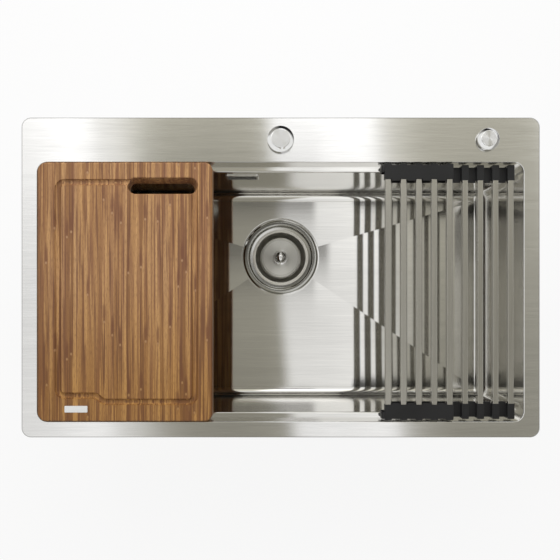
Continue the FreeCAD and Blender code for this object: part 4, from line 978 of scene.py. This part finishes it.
# %% [markdown]
# ## Silicone strips of the rack
# The strips are moulded, so none of their edges is sharp. Their solids are, because a solid
# with hundreds of small roundings helps nobody. A copy of each strip gets its edges eased by
# a bevel, and stands in for the solid. The copy is first cleaned of the triangles that an
# imported mesh has, or the bevel would have nothing to follow.

# %% Eased copies
MERGE = 0.000005  # points nearer than this are one point
FLAT_WITHIN = math.radians(4)
SHARP_FROM = math.radians(40)
STRIP_EASE = 0.0006
BEVEL = {"segments": 2, "profile": 0.5, "affect": "EDGES", "clamp_overlap": True}


def eased(name, ease, finish):
    """A copy of a solid with every sharp edge rounded a little."""
    work = bmesh.new()
    work.from_mesh(nodes[name].data)
    bmesh.ops.remove_doubles(work, verts=work.verts, dist=MERGE)
    bmesh.ops.dissolve_limit(work, angle_limit=FLAT_WITHIN, verts=work.verts, edges=work.edges)
    inner = [edge for edge in work.edges if len(edge.link_faces) == 2]
    sharp = [edge for edge in inner if edge.calc_face_angle(0.0) > SHARP_FROM]
    bmesh.ops.bevel(work, geom=sharp, offset=ease, **BEVEL)
    piece = shaped(name + "_soft", work)
    piece.data.materials.append(finish)
    normals = piece.modifiers.new("flat_faces", "WEIGHTED_NORMAL")
    normals.keep_sharp = True
    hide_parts(name)
    return piece


STRIP_BODIES = {"rack_strip_rear": "rack", "rack_strip_front": "rack",
                "flap_strip_rear": "rack_flap", "flap_strip_front": "rack_flap"}
for name, body in STRIP_BODIES.items():
    strip_piece = eased(name, STRIP_EASE, silicone)
    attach(strip_piece, body)
    print(strip_piece.name, len(strip_piece.data.vertices), "points")

# %% [markdown]
# ## Fold loops
# Where the rack folds back on itself, a narrow silicone band runs round from the lower strip
# to the upper one. It has to bend as the upper layer unrolls, so it is its own piece: a thin
# band along a soft curve, which starts at the lower layer at one end, ends at the upper one at
# the other, and turns smoothly between them. It keeps this one shape and rides on no body.

# %% Fold loops
BAND_THICK = 0.0015
BAND_EASE = 0.0004
LONG_EDGE_FROM = 1.0  # radians between two faces of a long edge
UPPER_END = 0.003  # the upper strip ends this much further left than the lower
BULGE_POWER = 0.75  # below 1 the fold is fuller than a half circle


def fuller(wave):
    """A sine or cosine made fuller, with its sign kept."""
    return math.copysign(abs(wave) ** BULGE_POWER, wave)


def fold_band(name, steps=20):
    """A band round the fold, shaped inside its solid's own box."""
    low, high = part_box(name)
    lower_end, upper_end = high.x, high.x - UPPER_END
    half = (high.z - low.z - BAND_THICK) / 2
    reach = upper_end - low.x - BAND_THICK / 2
    line = [Vector((lower_end, 0, low.z + BAND_THICK / 2))]
    for step in range(steps + 1):
        turn = math.pi * step / steps
        height = (low.z + high.z) / 2 - fuller(math.cos(turn)) * half
        line.append(Vector((upper_end - reach * fuller(abs(math.sin(turn))), 0, height)))
    work = bmesh.new()
    rings = []
    for place, point in enumerate(line):
        before, after = line[max(place - 1, 0)], line[min(place + 1, len(line) - 1)]
        along = (after - before).normalized()
        side = Vector((along.z, 0, -along.x)) * BAND_THICK / 2
        corners = [(side, low.y), (side, high.y), (-side, high.y), (-side, low.y)]
        rings.append([work.verts.new((point.x + s.x, y, point.z + s.z)) for s, y in corners])
    for first, second in zip(rings, rings[1:]):
        for corner in range(4):
            around = (corner + 1) % 4
            work.faces.new((first[corner], first[around], second[around], second[corner]))
    work.faces.new(rings[0][::-1])
    work.faces.new(rings[-1])
    bmesh.ops.recalc_face_normals(work, faces=work.faces)
    lengthwise = [e for e in work.edges if abs(e.verts[0].co.y - e.verts[1].co.y) < MERGE]
    long_edges = [edge for edge in lengthwise if edge.calc_face_angle(0.0) > LONG_EDGE_FROM]
    bmesh.ops.bevel(work, geom=long_edges, offset=BAND_EASE, **BEVEL)
    band = shaped(name + "_band", work)
    band.data.materials.append(silicone)
    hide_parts(name)
    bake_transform(band)
    return band


for name in ("fold_loop_rear", "fold_loop_front"):
    print(fold_band(name).name, "round the fold")

# %% [markdown]
# ## Overflow hose
# A pale corrugated hose takes the overflow's water down behind the bowl and in under the
# strainer. It is a round tube whose radius swells and shrinks along its length. The middle
# line is two straight runs and one quarter turn, so the tube can be built ring by ring: each
# ring stands square to the line, and the rib pattern only needs the distance run so far. The
# rings are six to a rib, enough to show its swell.

# %% Overflow hose
HOSE_TOP = Vector((-0.063, 0.2117, -0.0853))
HOSE_LOW_Z = -0.3062
HOSE_BEND = 0.050
HOSE_END = 0.0568  # from the drain's axis to the hose's lower end
HOSE_R, HOSE_BORE = 0.0125, 0.0100
HOSE_SIDES = 28
RIB_PITCH = 0.0042
RIB_DEPTH = 0.0012
RIB_POWER = 1.5  # above 1 the grooves are narrower than the ribs
RINGS_PER_RIB = 6
PLAIN_END = 0.009
TO_DRAIN = Vector(DRAIN_AXIS) - Vector((HOSE_TOP.x, HOSE_TOP.y, 0))


def hose_line(step):
    """Points and directions along the hose's middle line, one step apart."""
    inward = TO_DRAIN.normalized()
    down = Vector((0, 0, -1))
    run_down = HOSE_TOP.z - HOSE_LOW_Z - HOSE_BEND
    centre = HOSE_TOP + down * run_down + inward * HOSE_BEND
    level = TO_DRAIN.length - HOSE_END - HOSE_BEND
    turn_length = HOSE_BEND * math.pi / 2
    total = run_down + turn_length + level
    count = round(total / step)
    points = []
    for number in range(count + 1):
        gone = total * number / count
        if gone <= run_down:
            points.append((gone, HOSE_TOP + down * gone, down))
        elif gone <= run_down + turn_length:
            angle = (gone - run_down) / HOSE_BEND
            outward = down * math.sin(angle) - inward * math.cos(angle)
            along = down * math.cos(angle) + inward * math.sin(angle)
            points.append((gone, centre + outward * HOSE_BEND, along))
        else:
            rest = gone - run_down - turn_length
            points.append((gone, centre + down * HOSE_BEND + inward * rest, inward))
    return points, total


def ribbed_hose():
    """The hose's outside, ring by ring, closed in to its bore at both ends."""
    points, total = hose_line(RIB_PITCH / RINGS_PER_RIB)
    sideways = Vector((0, 0, 1)).cross(TO_DRAIN).normalized()
    rows = []
    for gone, spot, along in points:
        swell = HOSE_R
        if PLAIN_END < gone < total - PLAIN_END:
            wave = 0.5 + 0.5 * math.cos(2 * math.pi * gone / RIB_PITCH)
            swell -= RIB_DEPTH * wave ** RIB_POWER
        rows.append((spot, along.cross(sideways), swell))
    rows = [(*rows[0][:2], HOSE_BORE)] + rows + [(*rows[-1][:2], HOSE_BORE)]
    mesh_points, faces = [], []
    for spot, other, swell in rows:
        for side in range(HOSE_SIDES):
            angle = 2 * math.pi * side / HOSE_SIDES
            outward = sideways * math.cos(angle) + other * math.sin(angle)
            mesh_points.append(spot + outward * swell)
    for row in range(len(rows) - 1):
        for side in range(HOSE_SIDES):
            first = row * HOSE_SIDES + side
            second = row * HOSE_SIDES + (side + 1) % HOSE_SIDES
            faces.append((first, second, second + HOSE_SIDES, first + HOSE_SIDES))
    mesh = bpy.data.meshes.new("ribbed_hose")
    mesh.from_pydata(mesh_points, [], faces)
    smooth(mesh)
    mesh.materials.append(hose_plastic)
    print("hose", round(total, 4), "m,", len(mesh_points), "points")
    return in_scene("ribbed_hose", mesh)


hose = ribbed_hose()
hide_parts("overflow_hose")
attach(hose, "sink")

# %% [markdown]
# ## The size of the finished sink
# Looks must not change the sink's size, so both boxes are written down: the solids' and the
# finished model's.

# %% Sizes and finish
FINAL_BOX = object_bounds()
boxes = {"solids": SOLID_BOX, "finished": FINAL_BOX}
print("finished box", [tuple(round(v, 4) for v in corner) for corner in FINAL_BOX])
